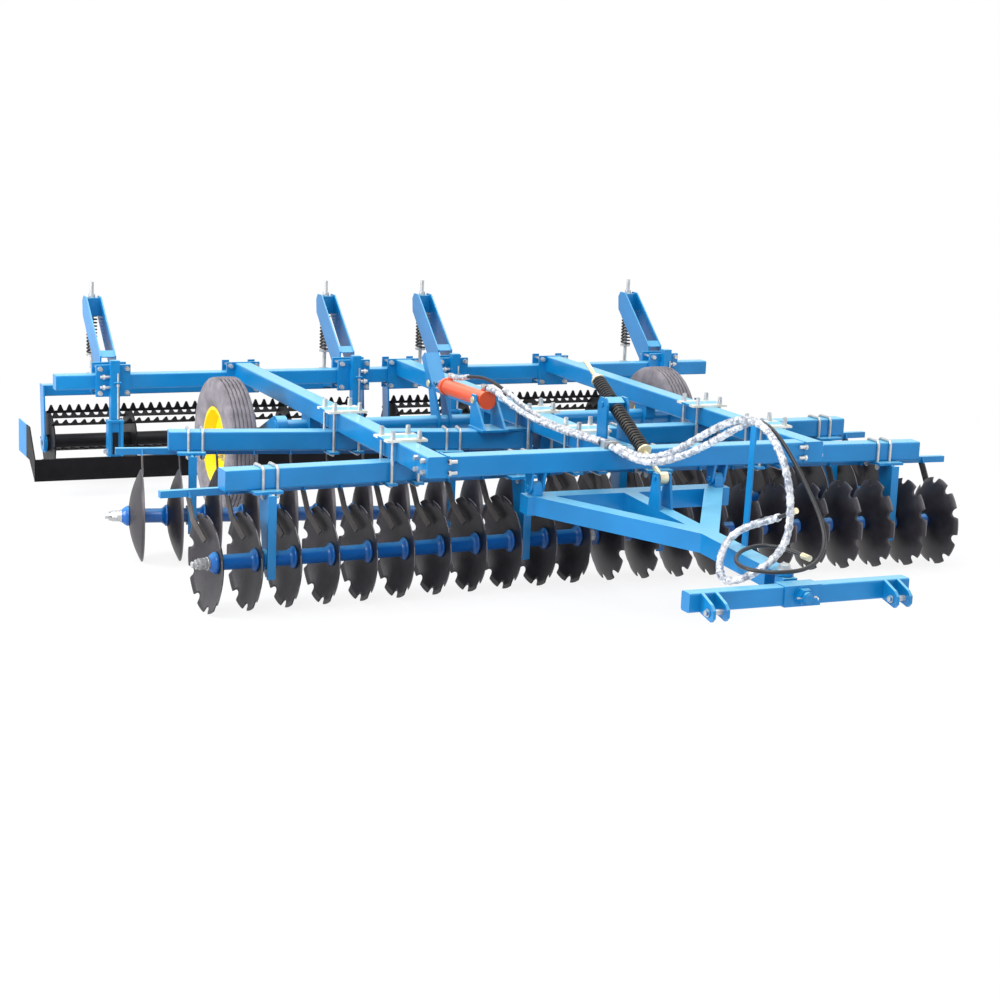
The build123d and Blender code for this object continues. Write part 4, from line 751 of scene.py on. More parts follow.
def crinkle(radius):
    """A loose film sleeve's radius along its path and round it, in small uneven folds."""

    def size(index, turn):
        along = sum(height * sin(pace * index + shift) for height, pace, shift in FOLDS)
        return radius + along + TWIST * sin(3 * turn + 2.3 * index) * sin(0.7 * index)

    return size


def stretch_of(path, start, end, step):
    """The part of a path between two distances along it, at even steps."""
    gone, result, due = 0.0, [], start
    for a, b in zip(path, path[1:]):
        run = (b - a).length
        while due <= gone + run and due <= end:
            result.append(a.lerp(b, (due - gone) / run))
            due += step
        gone += run
    return result


LINES = {}
for kind, union_x in UNION_X.items():
    elbow = CAP_PIN + STROKE * (PORT_PLACES[kind] - ELBOW_REACH) + PORT_UP * ELBOW_UP
    rear_end, front_start = Vector((union_x, UNION_BACK, UNION_Z)), Vector((union_x, UNION_FRONT, UNION_Z))
    for place, points in (
        ("rear", [elbow, elbow - STROKE * FIRST_RUN, *metres(REAR_POINTS[kind]), rear_end]),
        ("front", [front_start, *metres(FRONT_POINTS[kind])]),
    ):
        name = f"hose_{kind}_{place}"
        path = smooth_line(name + "_line", points)
        LINES[kind, place] = path
        tube = Shape()
        tube.tube(path, HOSE_DIAMETER / 2, 14)
        made = piece(name + "_skin", tube, HOSE, None, (name,))
        carried = ["hose_" + kind + "_coupling"] if place == "front" else []
        round(length_of(path), 3)
        "connector" if place == "front" else "object"
        points[0] + BLEND_RUN
        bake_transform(made)

# --- Finishes of the solids that show as they are ---
STAY = {
    BLUE: (
        "longitudinal_left longitudinal_centre longitudinal_right front_cross_beam rear_beam "
        "gang_beams_front gang_beams_rear hangers_front hangers_rear shaft_bearings rockshaft "
        "cylinder_bracket trunnion_lugs trunnion_block masts drawbar hose_post swivel_block hitch_bar "
        "roller_frame_left roller_frame_right board_posts"
    ),
    SCRAPER: "scrapers_front scrapers_rear",
    BOARD: "levelling_board_left levelling_board_right",
    CLAMP: "clamps_front clamps_rear",
    STRAW: "levelling_rod hose_rod_coupling hose_cap_coupling",
    ZINC: "down_rods hose_unions",
    ORANGE: "cylinder_barrel",
    CHROME: "cylinder_rod",
    YELLOW: "rim_left rim_right",
}
for finish, names in STAY.items():
    for name in names.split():
        NODES[name].data.materials.clear()
        NODES[name].data.materials.append(finish)

# --- Disc gangs ---
DISC_PITCH, DISC_COUNT, DISC_RADIUS, DISC_DEPTH, DISC_THICK = 0.230, 11, 0.280, 0.070, 0.006
NOTCH_DEPTH, NOTCHED_STEPS, PLAIN_STEPS = 0.035, 181, 97
AXLE_Z = 0.280
AXIS_BACK = -0.100
FIRST_DISC = {"front": 0.133, "rear": 0.180}
LEG_PAST_DISC = {"front": 0.100, "rear": 0.156}


class Gang:
    """One gang's own directions: out along its axle, back behind it."""

    def __init__(self, row, side_name, side):
        self.name, self.row, self.front = f"{row}_{side_name}", row, row == "front"
        turn = radians(GANG_DEGREES[self.name]) * (-1 if self.front else 1)
        self.body = "gang_" + self.name
        self.out = Vector((side * cos(turn), sin(turn), 0))
        self.back = Vector((-side * sin(turn), cos(turn), 0))
        self.dish = -1 if self.front else 1

    def point(self, out, back=0.0, up=0.0):
        return Vector((0, BEAM_Y[self.row], up)) + self.out * out + self.back * back

    def axle(self, out):
        return self.point(out, AXIS_BACK, AXLE_Z)

    def rim(self, index):
        return FIRST_DISC[self.row] + index * DISC_PITCH

    def hub(self, index):
        """The near and far side of a disc's hub along the axle."""
        far = self.rim(index) + self.dish * DISC_DEPTH
        near = far - self.dish * DISC_THICK
        return min(far, near), max(far, near)

    def leg(self, index):
        return self.rim(index) + LEG_PAST_DISC[self.row]


GANGS = [Gang(row, *side) for row in BEAM_Y for side in SIDES]
SLEEVE, BELL = 0.044, 0.066


def spool_profile(length):
    """A spool from one disc to the next: a round-lipped bell that draws in to a plain sleeve."""
    bell = [
        (0.000, BELL - 0.005), (0.003, BELL - 0.001), (0.008, BELL), (0.013, BELL - 0.002),
        (0.018, BELL - 0.008), (0.024, SLEEVE + 0.008), (0.031, SLEEVE + 0.003), (0.040, SLEEVE),
    ]
    plain = [(0.012, SLEEVE), (0.008, SLEEVE + 0.002), (0.0, SLEEVE + 0.002)]
    return bell + [(length - before, radius) for before, radius in plain]


END_BELL = [
    (0, 0.058), (0.004, 0.0615), (0.010, 0.062), (0.016, 0.0605), (0.024, 0.056), (0.032, 0.050),
    (0.040, 0.043), (0.045, 0.040),
]
END_BELL_LENGTH = END_BELL[-1][0]
INNER_CAP, INNER_CAP_RADIUS = 0.012, 0.061
FIRST_WASHER = [(0, 0.036), (0.001, 0.038), (0.012, 0.038), (0.013, 0.036)]
SECOND_WASHER, SECOND_WASHER_RADIUS = 0.014, 0.034
NUT_FOOT = 0.028
AXLE_NUT, AXLE_NUT_LENGTH, AXLE_END = 0.060, 0.050, 0.024
HEAD_LENGTH, HEAD_RADIUS = 0.020, 0.034


def castle_nut(shape, origin, axis, across, length, end):
    """A slotted nut with its cotter and the threaded end through it, as shares of its width and length."""
    axis, first, second = plane_axes(axis)
    origin = Vector(origin)
    body, crown = length * 0.64, length * 0.36
    corner, thread = across * HEX_CORNER, across * 0.30
    shape.lathe([(0, across * 0.56), (0.002, corner), (body, corner)], origin, axis, 6, smooth=False)
    shape.lathe([(body, across * 0.43), (body + 0.002, across * 0.43)], origin, axis, 24)
    for step in range(6):
        turn = 2 * pi * (step + 0.5) / 6
        spoke = first * cos(turn) + second * sin(turn)
        middle = origin + axis * (body + crown / 2) + spoke * across * 0.33
        shape.box(middle, (across * 0.26, across * 0.26, crown), spoke, axis.cross(spoke))
    tip = length + end
    shape.lathe([(0, thread), (tip - 0.003, thread), (tip, across * 0.26)], origin, axis, 24)
    pin = origin + axis * (length * 0.86)
    shape.rod(pin - first * across * 0.62, pin + first * across * 0.66, across * 0.055, 8)


for gang in GANGS:
    places = [gang.axle(gang.rim(index)) for index in range(DISC_COUNT)]
    attributes = [
        ("axis", "FLOAT_VECTOR", [gang.out * gang.dish] * DISC_COUNT),
        ("size", "FLOAT", [1.0] * DISC_COUNT),
    ]
    mesh = grown("discs", DISHED, places, {
        "Radius": DISC_RADIUS, "Depth": DISC_DEPTH, "Thickness": DISC_THICK, "Material": DISC,
        "Notch depth": NOTCH_DEPTH if gang.front else 0.0,
        "Around": NOTCHED_STEPS if gang.front else PLAIN_STEPS,
    }, attributes)
    piece(f"discs_{gang.name}_dished", mesh, DISC, gang.body, (f"discs_{gang.name}",))

    low, high = gang.hub(0)[0], gang.hub(DISC_COUNT - 1)[1]
    spools = Shape()
    for index in range(DISC_COUNT - 1):
        start, end = gang.hub(index)[1], gang.hub(index + 1)[0]
        spools.lathe(spool_profile(end - start), gang.axle(start), gang.out, 32)
    spools.lathe(END_BELL, gang.axle(high), gang.out, 36)
    spools.collar(gang.axle(low - INNER_CAP), gang.out, INNER_CAP_RADIUS, INNER_CAP, 32)
    piece(f"spools_{gang.name}_turned", spools, SHADED_SPOOL, gang.body, (f"spools_{gang.name}",))
    # At the outer end a slotted nut with its cotter over two washers, at the inner end the axle's head
    stack = high + END_BELL_LENGTH
    bright = Shape()
    nut_foot = stack + NUT_FOOT
    bright.lathe(FIRST_WASHER, gang.axle(stack), gang.out, 28)
    washer_foot = gang.axle(nut_foot - SECOND_WASHER)
    bright.collar(washer_foot, gang.out, SECOND_WASHER_RADIUS, SECOND_WASHER, 28)
    castle_nut(bright, gang.axle(nut_foot), gang.out, AXLE_NUT, AXLE_NUT_LENGTH, AXLE_END)
    bright.rod(gang.axle(low - INNER_CAP - HEAD_LENGTH), gang.axle(low - INNER_CAP), HEAD_RADIUS, 6)
    piece(f"axle_nuts_{gang.name}", bright, ZINC, gang.body)

# --- U-bolts over the gang beams, each hanger's two, with their nuts under the seat ---
BEAM_TOP, SEAT_BOTTOM, TUBE_HALF = 0.790, 0.654, 0.060
BOLT_RADIUS, BOLT_CORNER, BOLT_PAST_SEAT = 0.009, 0.020, 0.034
HANGER_DISCS, BOLTS_FROM_LEG = (1, 8), (-0.070, 0.016)
NUT_LARGE, NUT_SMALL = 0.028, 0.026


def u_bolt(bolts, gang, out):
    half, top = TUBE_HALF + BOLT_RADIUS, BEAM_TOP + BOLT_RADIUS
    corner = [(half - inward, top - down) for inward, down in quarter_bend(BOLT_CORNER)]
    outline = [(half, SEAT_BOTTOM - BOLT_PAST_SEAT)] + corner
    outline += [(-back, up) for back, up in reversed(outline)]
    bolts.tube([gang.point(out, back, up) for back, up in outline], BOLT_RADIUS, 10)
    return [(gang.point(out, edge * half, SEAT_BOTTOM), -UP, NUT_LARGE) for edge in EDGES]


bolts, seats = Shape(), []
for gang in GANGS:
    for index in HANGER_DISCS:
        for shift in BOLTS_FROM_LEG:
            seats += u_bolt(bolts, gang, gang.leg(index) + shift)
piece("hanger_u_bolts", bolts, ZINC, "frame")
nuts("hanger_nuts", "frame", ZINC, seats, Washer=0.62, Stud_out=0.2)

# --- Clamps where the gang beams pass under the longitudinals: U-bolts from below, two nuts on each end ---
STUD_OFF, STUD_BESIDE, STUD_RADIUS, STUD_TOP = 0.082, 0.092, 0.0095, FRAME_TOP + 0.060
CLAMP_UNDER, CLAMP_CORNER = 0.6465, 0.020
FIRST_NUT, SECOND_NUT = FRAME_TOP + 0.014, FRAME_TOP + 0.038
studs, heads, tall = Shape(), [], []
for row in BEAM_Y:
    pair = [gang for gang in GANGS if gang.row == row]
    for x in LONGITUDINAL_X:
        gang = pair[0] if x < 0 else pair[1]
        y = gang.point(abs(x / gang.out.x)).y
        bend = [(STUD_BESIDE - inward, CLAMP_UNDER + up) for inward, up in quarter_bend(CLAMP_CORNER)]
        outline = [(-along, up) for along, up in [(STUD_BESIDE, STUD_TOP)] + bend]
        outline += [(-along, up) for along, up in reversed(outline)]
        for across in (-STUD_OFF, STUD_OFF):
            studs.tube([(x + across, y + along, up) for along, up in outline], STUD_RADIUS, 12)
            for along in (-STUD_BESIDE, STUD_BESIDE):
                heads.append((Vector((x + across, y + along, FIRST_NUT)), UP, NUT_LARGE))
                tall.append((Vector((x + across, y + along, SECOND_NUT)), UP, NUT_SMALL))

# --- Bolts through the rear beam's flanges and the masts' clamps ---
FLANGE_MIDDLE, CORNER_X, CORNER_Z = 0.804, 0.095, 0.085
FLANGE_BOLT_RADIUS, HEAD_OUT, THREAD_OUT = 0.010, 0.026, 0.034
FLANGE_FACES, MAST_FACES = (2.430, 2.560), (2.416, 2.576)
for x in LONGITUDINAL_X + MAST_X:
    front, back = MAST_FACES if x in MAST_X else FLANGE_FACES
    for across in (-CORNER_X, CORNER_X):
        for up in (-CORNER_Z, CORNER_Z):
            first, last = (Vector((x + across, y, FLANGE_MIDDLE + up)) for y in (front, back))
            start, end = first - REARWARD * HEAD_OUT, last + REARWARD * THREAD_OUT
            studs.rod(start, end, FLANGE_BOLT_RADIUS, 12, CHAMFER)
            heads += [(first, -REARWARD, NUT_LARGE), (last, REARWARD, NUT_LARGE)]

# --- Joint bolts at the cross beam's ends, before its face and on the longitudinals' outer sides ---
JOINT_BOLT_X, JOINT_BOLT_Y, JOINT_UP = 1.160, -1.284, 0.032
JOINT_LENGTH, JOINT_RADIUS, JOINT_HEAD, JOINT_HEAD_RADIUS = 0.052, 0.0105, 0.014, 0.0165
OUTER_SIDE_X, OUTER_BOLT_Y = 1.280, (-1.225, -1.120)
for side_x in EDGES:
    for up in (-JOINT_UP, JOINT_UP):
        start = Vector((side_x * JOINT_BOLT_X, JOINT_BOLT_Y, LONGITUDINAL_Z + up))
        studs.rod(start, start - ACROSS * side_x * JOINT_LENGTH, JOINT_RADIUS, 12, CHAMFER)
        studs.rod(start, start - ACROSS * side_x * JOINT_HEAD, JOINT_HEAD_RADIUS, 6)
        for y in OUTER_BOLT_Y:
            place = Vector((side_x * OUTER_SIDE_X, y, LONGITUDINAL_Z + up))
            heads.append((place, ACROSS * side_x, NUT_SMALL))
piece("frame_studs", studs, ZINC, "frame")
nuts("frame_nuts", "frame", ZINC, heads, Washer=0.60, Stud_out=0.1)
nuts("clamp_nuts", "frame", ZINC, tall, Washer=0.56, Stud_out=0.1)

STRAP_Y, STRAP_SIZE = 2.554, (0.050, 0.0115, 0.222)
straps = Shape()
for x in LONGITUDINAL_X:
    for across in (-CORNER_X, CORNER_X):
        straps.box((x + across, STRAP_Y, FLANGE_MIDDLE), STRAP_SIZE)
piece("flange_straps", straps, BLUE, "frame")

# --- Board posts, one under each mast: clamp bolts, adjusting rods and their forks ---
POST_FRONT = 2.354
POST_BOLT_Y, POST_BOLT_Z = 2.396, (0.762, 0.835)
POST_BOLT_INSET, POST_BOLT_LENGTH, POST_BOLT_RADIUS = 0.031, 0.066, 0.0105
POST_NUT_OUT, POST_NUT, POST_NUT_RADIUS = 0.034, 0.015, 0.0185
ROD_BESIDE, ROD_AHEAD, ROD_LOW, ROD_HIGH, ROD_RADIUS = 0.015, 0.011, 0.545, 0.865, 0.006
ROD_NUT_Z, ROD_NUT, ROD_NUT_RADIUS = 0.775, 0.014, 0.012
BRIDGE_PLACE, BRIDGE_SIZE, MAST_SLOPE = (2.600, 0.966), (0.100, 0.062, 0.008), Vector((0, 0.774, 0.633))
ROD_TAB, ROD_TAB_PLACE = (0.050, 0.024, 0.010), Vector((0.013, POST_FRONT - 0.010, 0.800))
FORK_Y = POST_FRONT + 0.020
FORK_TOP, FORK_TOP_PLACE = (0.112, 0.074, 0.014), Vector((0, FORK_Y, 0.530))
FORK_CHEEK, FORK_CHEEK_OUT, FORK_CHEEK_Z = (0.020, 0.072, 0.240), 0.0425, 0.404
FORK_PIN_OUT, FORK_PIN_Z = 0.052, 0.315
# Painted shade: a thin black plate on each post's front stands for the shade inside its slot
SLOT_SHADE_PLATE, SLOT_SHADE_PLATE_PLACE = (0.040, 0.006, 0.150), Vector((0, POST_FRONT - 0.002, 0.375))
rods, forks, slot_shades, bridges, pins = Shape(), Shape(), Shape(), Shape(), []
for x in MAST_X:
    # The bolts' heads face the machine's end on the outer posts and its middle on the inner ones
    outer = 1 if abs(x) > 1 else -1
    toward = outer * (1 if x > 0 else -1)
    for z in POST_BOLT_Z:
        start = Vector((x + toward * POST_BOLT_INSET, POST_BOLT_Y, z))
        rods.rod(start, start + ACROSS * toward * POST_BOLT_LENGTH, POST_BOLT_RADIUS, 14, CHAMFER)
        rods.hexagon(start + ACROSS * toward * POST_NUT_OUT, ACROSS * toward, POST_NUT_RADIUS, POST_NUT)
    rod_x, rod_y = x + ROD_BESIDE, POST_FRONT - ROD_AHEAD
    rods.rod((rod_x, rod_y, ROD_LOW), (rod_x, rod_y, ROD_HIGH), ROD_RADIUS, 12)
    rods.hexagon((rod_x, rod_y, ROD_NUT_Z), UP, ROD_NUT_RADIUS, ROD_NUT)
    bridges.box((x, *BRIDGE_PLACE), BRIDGE_SIZE, ACROSS, MAST_SLOPE)
    forks.box(ACROSS * x + ROD_TAB_PLACE, ROD_TAB)
    forks.box(ACROSS * x + FORK_TOP_PLACE, FORK_TOP)
    for edge in EDGES:
        forks.box((x + edge * FORK_CHEEK_OUT, FORK_Y, FORK_CHEEK_Z), FORK_CHEEK)
        pins.append((Vector((x + edge * FORK_PIN_OUT, FORK_Y, FORK_PIN_Z)), ACROSS * edge, NUT_SMALL))
    slot_shades.box(ACROSS * x + SLOT_SHADE_PLATE_PLACE, SLOT_SHADE_PLATE)
piece("post_rods", rods, ZINC, "frame")
piece("mast_bridges", bridges, BLUE, "frame")
piece("post_forks", forks, BLUE, "frame")
piece("post_slot_shades", slot_shades, BLACK, "frame")
nuts("post_nuts", "frame", ZINC, pins, Washer=0.6, Stud_out=0.1)

# --- Hitch: slotted nut on the spindle, washers and head on the upright pin, heads on the link pins ---
SPINDLE_Z, SPINDLE_FACE, SPINDLE_NUT_FOOT, COTTER_Y = 0.506, -3.1624, -3.166, -3.199
SPINDLE_NUT, SPINDLE_NUT_LENGTH, SPINDLE_END = 0.0795, 0.038, 0.022
SPINDLE_WASHER = [(0, 0.050), (0.003, 0.052), (0.0055, 0.052)]
COTTER_HEAD, COTTER_TAIL, COTTER_RADIUS, COTTER_LEG_RADIUS = -0.056, 0.058, 0.0048, 0.0035
COTTER_LEG = [(0.056, COTTER_Y, SPINDLE_Z), (0.064, -3.203, 0.500), (0.060, -3.212, 0.494)]
bright = Shape()
nut_foot, washer_foot = (0, SPINDLE_NUT_FOOT, SPINDLE_Z), (0, SPINDLE_FACE, SPINDLE_Z)
castle_nut(bright, nut_foot, -REARWARD, SPINDLE_NUT, SPINDLE_NUT_LENGTH, SPINDLE_END)
bright.lathe(SPINDLE_WASHER, washer_foot, -REARWARD, 28)
piece("spindle_nut", bright, BLUE, "hitch_swivel")
cotter = Shape()
cotter.rod((COTTER_HEAD, COTTER_Y, SPINDLE_Z), (COTTER_TAIL, COTTER_Y, SPINDLE_Z), COTTER_RADIUS, 10)
cotter.tube(COTTER_LEG, COTTER_LEG_RADIUS, 8)
piece("spindle_cotter", cotter, ZINC, "hitch_swivel")

DROP = radians(2.2)
DRAWBAR_UP, DRAWBAR_AHEAD = Vector((0, -sin(DROP), cos(DROP))), Vector((0, -cos(DROP), -sin(DROP)))
DRAWBAR_HINGE, TONGUE_PIN_AHEAD = Vector((0, -1.210, 0.700)), 1.765
TONGUE_PIN = DRAWBAR_HINGE + DRAWBAR_AHEAD * (TONGUE_PIN_AHEAD / cos(DROP))
TONGUE_WASHER_UP, TONGUE_WASHER, TONGUE_WASHER_RADIUS = -0.0345, 0.007, 0.037
TONGUE_HEAD = [(0, 0.030), (0.020, 0.030), (0.022, 0.027)]
bright = Shape()
washer_foot = TONGUE_PIN + DRAWBAR_UP * TONGUE_WASHER_UP
bright.collar(washer_foot, DRAWBAR_UP, TONGUE_WASHER_RADIUS, TONGUE_WASHER, 28)
bright.lathe(TONGUE_HEAD, washer_foot + DRAWBAR_UP * TONGUE_WASHER, DRAWBAR_UP, 6, smooth=False)
piece("tongue_pin_head", bright, ZINC, "drawbar")

LINK_X, LINK_Y, LINK_Z = 0.530, -3.232, 0.476
LINK_PIN_OUT, LINK_PIN_HALF, LINK_PIN_RADIUS = 0.062, 0.042, 0.0143
LINK_PIN_END = [(0, 0.0125), (0.001, 0.0142), (0.004, 0.0142)]
LINK_COLLAR_IN, LINK_COLLAR, LINK_COLLAR_RADIUS = 0.012, 0.004, 0.021
LINCH_OUT, LINCH_LOW, LINCH_HIGH, LINCH_RADIUS = 0.057, 0.448, 0.506, 0.0028
pins = Shape()
for side_x in EDGES:
    middle = Vector((side_x * LINK_X, LINK_Y, LINK_Z))
    for edge in EDGES:
        outward = ACROSS * edge
        place = middle + outward * LINK_PIN_OUT
        pins.lathe(LINK_PIN_END, place, outward, 20)
        pins.collar(place - outward * LINK_COLLAR_IN, outward, LINK_COLLAR_RADIUS, LINK_COLLAR, 24)
    pins.collar(middle - ACROSS * LINK_PIN_HALF, ACROSS, LINK_PIN_RADIUS, 2 * LINK_PIN_HALF, 24)
    linch_x = side_x * LINK_X + LINCH_OUT
    pins.rod((linch_x, LINK_Y, LINCH_LOW), (linch_x, LINK_Y, LINCH_HIGH), LINCH_RADIUS, 8)
piece("link_pin_ends", pins, ZINC, "hitch_bar")

# --- Lift cylinder: port fittings, gland and pin ends ---
GLAND_PLACE, GLAND = 0.640, [(0, 0.036), (0.004, 0.038), (0.006, 0.034)]
PIN_END = [(0, 0.023), (0.003, 0.024), (0.009, 0.022)]
CAP_PIN_HALF, LEVER_PIN_HALF = 0.0785, 0.0575
ELBOW_RADIUS, ELBOW_BACK = 0.0165, 0.012
ELBOW_NUT, ELBOW_NUT_RADIUS = (-0.020, -0.034), 0.0200
RISER_RADIUS, RISER = 0.0180, (-0.012, 0.0165)
fittings = Shape()
for port in PORT_PLACES.values():
    turn_point = CAP_PIN + STROKE * port + PORT_UP * ELBOW_UP
    for direction, (start, end), radius, segments, chamfer in (
        (STROKE, (ELBOW_BACK, -ELBOW_REACH), ELBOW_RADIUS, 16, CHAMFER),
        (STROKE, ELBOW_NUT, ELBOW_NUT_RADIUS, 6, 0.0),
        (PORT_UP, RISER, RISER_RADIUS, 16, CHAMFER),
    ):
        fittings.rod(turn_point + direction * start, turn_point + direction * end, radius, segments, chamfer)
piece("port_fittings", fittings, ZINC, "cylinder_barrel")
gland = Shape()
gland.lathe(GLAND, CAP_PIN + STROKE * GLAND_PLACE, STROKE, 32)
piece("gland_ring", gland, BLACK, "cylinder_barrel")
for name, pin, half, body in (
    ("cap_pin_ends", CAP_PIN, CAP_PIN_HALF, "cylinder_barrel"),
    ("lever_pin_ends", LEVER_PIN, LEVER_PIN_HALF, "rockshaft"),
):
    ends = Shape()
    for edge in EDGES:
        ends.lathe(PIN_END, pin + ACROSS * edge * half, ACROSS * edge, 24)
    piece(name, ends, STRAW, body)

# The transport lock: a channel that stands on the lever's pin
LOCK_UP, LOCK_OUT = Vector((0, 0.627, 0.779)), Vector((0, -0.779, 0.627))
LOCK_PLATE, LOCK_PLATE_PLACE = (0.104, 0.230, 0.008), LEVER_PIN + LOCK_UP * 0.100 + LOCK_OUT * 0.034
LOCK_CHEEK, LOCK_CHEEK_PLACE = (0.008, 0.250, 0.066), LEVER_PIN + LOCK_UP * 0.090 + LOCK_OUT * 0.006
LOCK_CHEEK_BESIDE = 0.0480
lock = Shape()
lock.box(LOCK_PLATE_PLACE, LOCK_PLATE, ACROSS, LOCK_UP)
for edge in EDGES:
    lock.box(LOCK_CHEEK_PLACE + ACROSS * edge * LOCK_CHEEK_BESIDE, LOCK_CHEEK, ACROSS, LOCK_UP)
piece("transport_lock", lock, BLUE, "rockshaft")

# --- Wheels ---
WHEEL_X, WHEEL_Y, WHEEL_Z = 1.625, 1.478, 0.498
TYRE_RADIUS, TYRE_WIDTH, RIM_RADIUS, RIM_WIDTH = 0.465, 0.212, 0.262, 0.160
RIBS, GROOVE, GROOVE_HALF = 6, 0.010, 0.003
TREAD_STEPS, SIPE_EVERY, SIPE = 160, 5, 0.0065
SHOULDER, CROWN_DROP, TREAD_BELOW = 0.026, 0.0088, 0.0065
RIB_EDGE, RIB_SHOULDER, RIB_SWELL = 0.0035, 0.008, 0.0006
WHEEL_BOLTS, BOLT_CIRCLE, BOLT_FACE, WHEEL_NUT = 6, 0.100, 0.007, 0.024


def tyre_profile(nick):
    """The tyre's outline from one bead to the other, its ribs' edges nicked by the sipes."""
    half = TYRE_WIDTH / 2
    bead = RIM_RADIUS + 0.001
    wall = [
        (-RIM_WIDTH / 2 + 0.006, bead), (-RIM_WIDTH / 2 - 0.003, bead + 0.010),
        (-half + 0.010, bead + 0.045), (-half, bead + 0.085), (-half + 0.003, bead + 0.125),
        (-half + 0.010, TYRE_RADIUS - 0.045), (-half + 0.014, TYRE_RADIUS - 0.030),
        (-half + 0.020, TYRE_RADIUS - 0.020),
    ]
    tread = []
    width = 2 * (half - SHOULDER)
    for rib in range(RIBS):
        left = -width / 2 + rib * width / RIBS
        right = left + width / RIBS
        crown = [TYRE_RADIUS - TREAD_BELOW - CROWN_DROP * (x / half) ** 2 for x in (left, right)]
        tread += [
            (left + RIB_EDGE, crown[0] - nick), (left + RIB_SHOULDER, crown[0] - nick * 0.4),
            ((left + right) / 2, max(crown) + RIB_SWELL),
            (right - RIB_SHOULDER, crown[1] - nick * 0.4), (right - RIB_EDGE, crown[1] - nick),
        ]
        if rib < RIBS - 1:
            tread += [(right - GROOVE_HALF, crown[1] - GROOVE), (right + GROOVE_HALF, crown[1] - GROOVE)]
    return wall + tread + [(-x, radius) for x, radius in reversed(wall)]


for name, side_x in SIDES:
    centre = Vector((side_x * WHEEL_X, WHEEL_Y, WHEEL_Z))
    tyre, rings = Shape(), []
    axis, first, second = plane_axes(ACROSS)
    for step, turn in enumerate(turns(TREAD_STEPS)):
        spoke = first * cos(turn) + second * sin(turn)
        profile = tyre_profile(0.0 if step % SIPE_EVERY else SIPE)
        rings.append([centre + axis * along + spoke * radius for along, radius in profile])
    tyre.rings(rings, closed=True)
    piece(f"tyre_{name}_ribbed", tyre, TYRE, f"wheel_{name}", (f"tyre_{name}",))
    face = centre + ACROSS * side_x * BOLT_FACE
    spokes = [Vector((0, cos(turn), sin(turn))) for turn in turns(WHEEL_BOLTS)]
    bolts = [(face + spoke * BOLT_CIRCLE, ACROSS * side_x, WHEEL_NUT) for spoke in spokes]
    nuts(f"wheel_nuts_{name}", f"wheel_{name}", ZINC, bolts)

# --- Rollers: eight toothed bars on plates along a tube ---
ROLLER_X, ROLLER_Y, ROLLER_RADIUS, ROLLER_HALF = 1.310, 3.005, 0.275, 1.190
ROLLER_TUBE, ROLLER_AXLE, AXLE_PAST = 0.060, 0.022, 0.030
PLATES, PLATE_RADIUS, PLATE_THICK, FIRST_PLATE, PLATE_PITCH = 5, 0.226, 0.010, 0.012, 0.5865
BARS, TEETH, TOOTH, BAR_BACK, BAR_THICK = 8, 36, 0.048, 0.014, 0.010
TOOTH_PITCH, ROOT = 2 * ROLLER_HALF / TEETH, ROLLER_RADIUS - TOOTH
# One tooth, as shares of the pitch along the bar and places up from the axis
TOOTH_OUTLINE = [
    (0, ROOT - BAR_BACK), (1, ROOT - BAR_BACK), (1, ROOT + 0.004), (0.84, ROOT + 0.006),
    (0.60, ROLLER_RADIUS - 0.003), (0.50, ROLLER_RADIUS), (0.40, ROLLER_RADIUS - 0.003),
    (0.16, ROOT + 0.006), (0, ROOT + 0.004),
]
for name, side_x in SIDES:
    start = Vector((side_x * ROLLER_X - ROLLER_HALF, ROLLER_Y, ROLLER_RADIUS))
    roller = Shape()
    roller.collar(start, ACROSS, ROLLER_TUBE, 2 * ROLLER_HALF, 24)
    roller.collar(start - ACROSS * AXLE_PAST, ACROSS, ROLLER_AXLE, 2 * (ROLLER_HALF + AXLE_PAST), 20)
    for index in range(PLATES):
        foot = start + ACROSS * (FIRST_PLATE + index * PLATE_PITCH)
        roller.lathe([(0, PLATE_RADIUS), (PLATE_THICK, PLATE_RADIUS)], foot, ACROSS, 32, smooth=False)
    for turn in turns(BARS):
        out = Vector((0, cos(turn), sin(turn)))
        for tooth in range(TEETH):
            outline = [((tooth + share) * TOOTH_PITCH, up) for share, up in TOOTH_OUTLINE]
            roller.prism(outline, start, ACROSS, out, BAR_THICK)
    piece(f"roller_{name}_toothed", roller, BLACK, f"roller_{name}", (f"roller_{name}",))

# --- Springs ---
LEVEL_PIN = Vector((0, -1.627, 0.810))
TRUNNION = Vector((0, -0.985, 1.128))
LEVEL_UP = (TRUNNION - LEVEL_PIN).normalized()
LEVEL_RUN = (TRUNNION - LEVEL_PIN).length
LEVEL_SPRING_START, BLOCK_HALF, UPPER_SPRING, COIL_CLEAR = 0.262, 0.034, 0.200, 0.006
LEVEL_COIL, LEVEL_WIRE, LEVEL_NUT = 0.042, 0.0075, 0.042
DOWN_SPRING_Y, DOWN_SPRING_Z, DOWN_SPRING_HEIGHT = 3.080, 0.905, 0.270
DOWN_COIL, DOWN_WIRE = 0.040, 0.0065


def coil(name, body, start, axis, height, radius, wire, windings, node):
    """Wound springs at some places, in place of their solid."""
    attributes = [("axis", "FLOAT_VECTOR", [axis] * len(start)), ("size", "FLOAT", [height] * len(start))]
    sizes = {"Turns": windings, "Radius": (radius - wire) / height, "Wire": wire / height}
    mesh = grown(name, COIL, start, {"Material": SPRING, **sizes}, attributes)
    mesh.polygons.foreach_set("use_smooth", [True] * len(mesh.polygons))
    return piece(name, mesh, SPRING, body, (node,))


lower = (LEVEL_SPRING_START, LEVEL_RUN - BLOCK_HALF)
upper = (LEVEL_RUN + BLOCK_HALF, LEVEL_RUN + BLOCK_HALF + UPPER_SPRING)
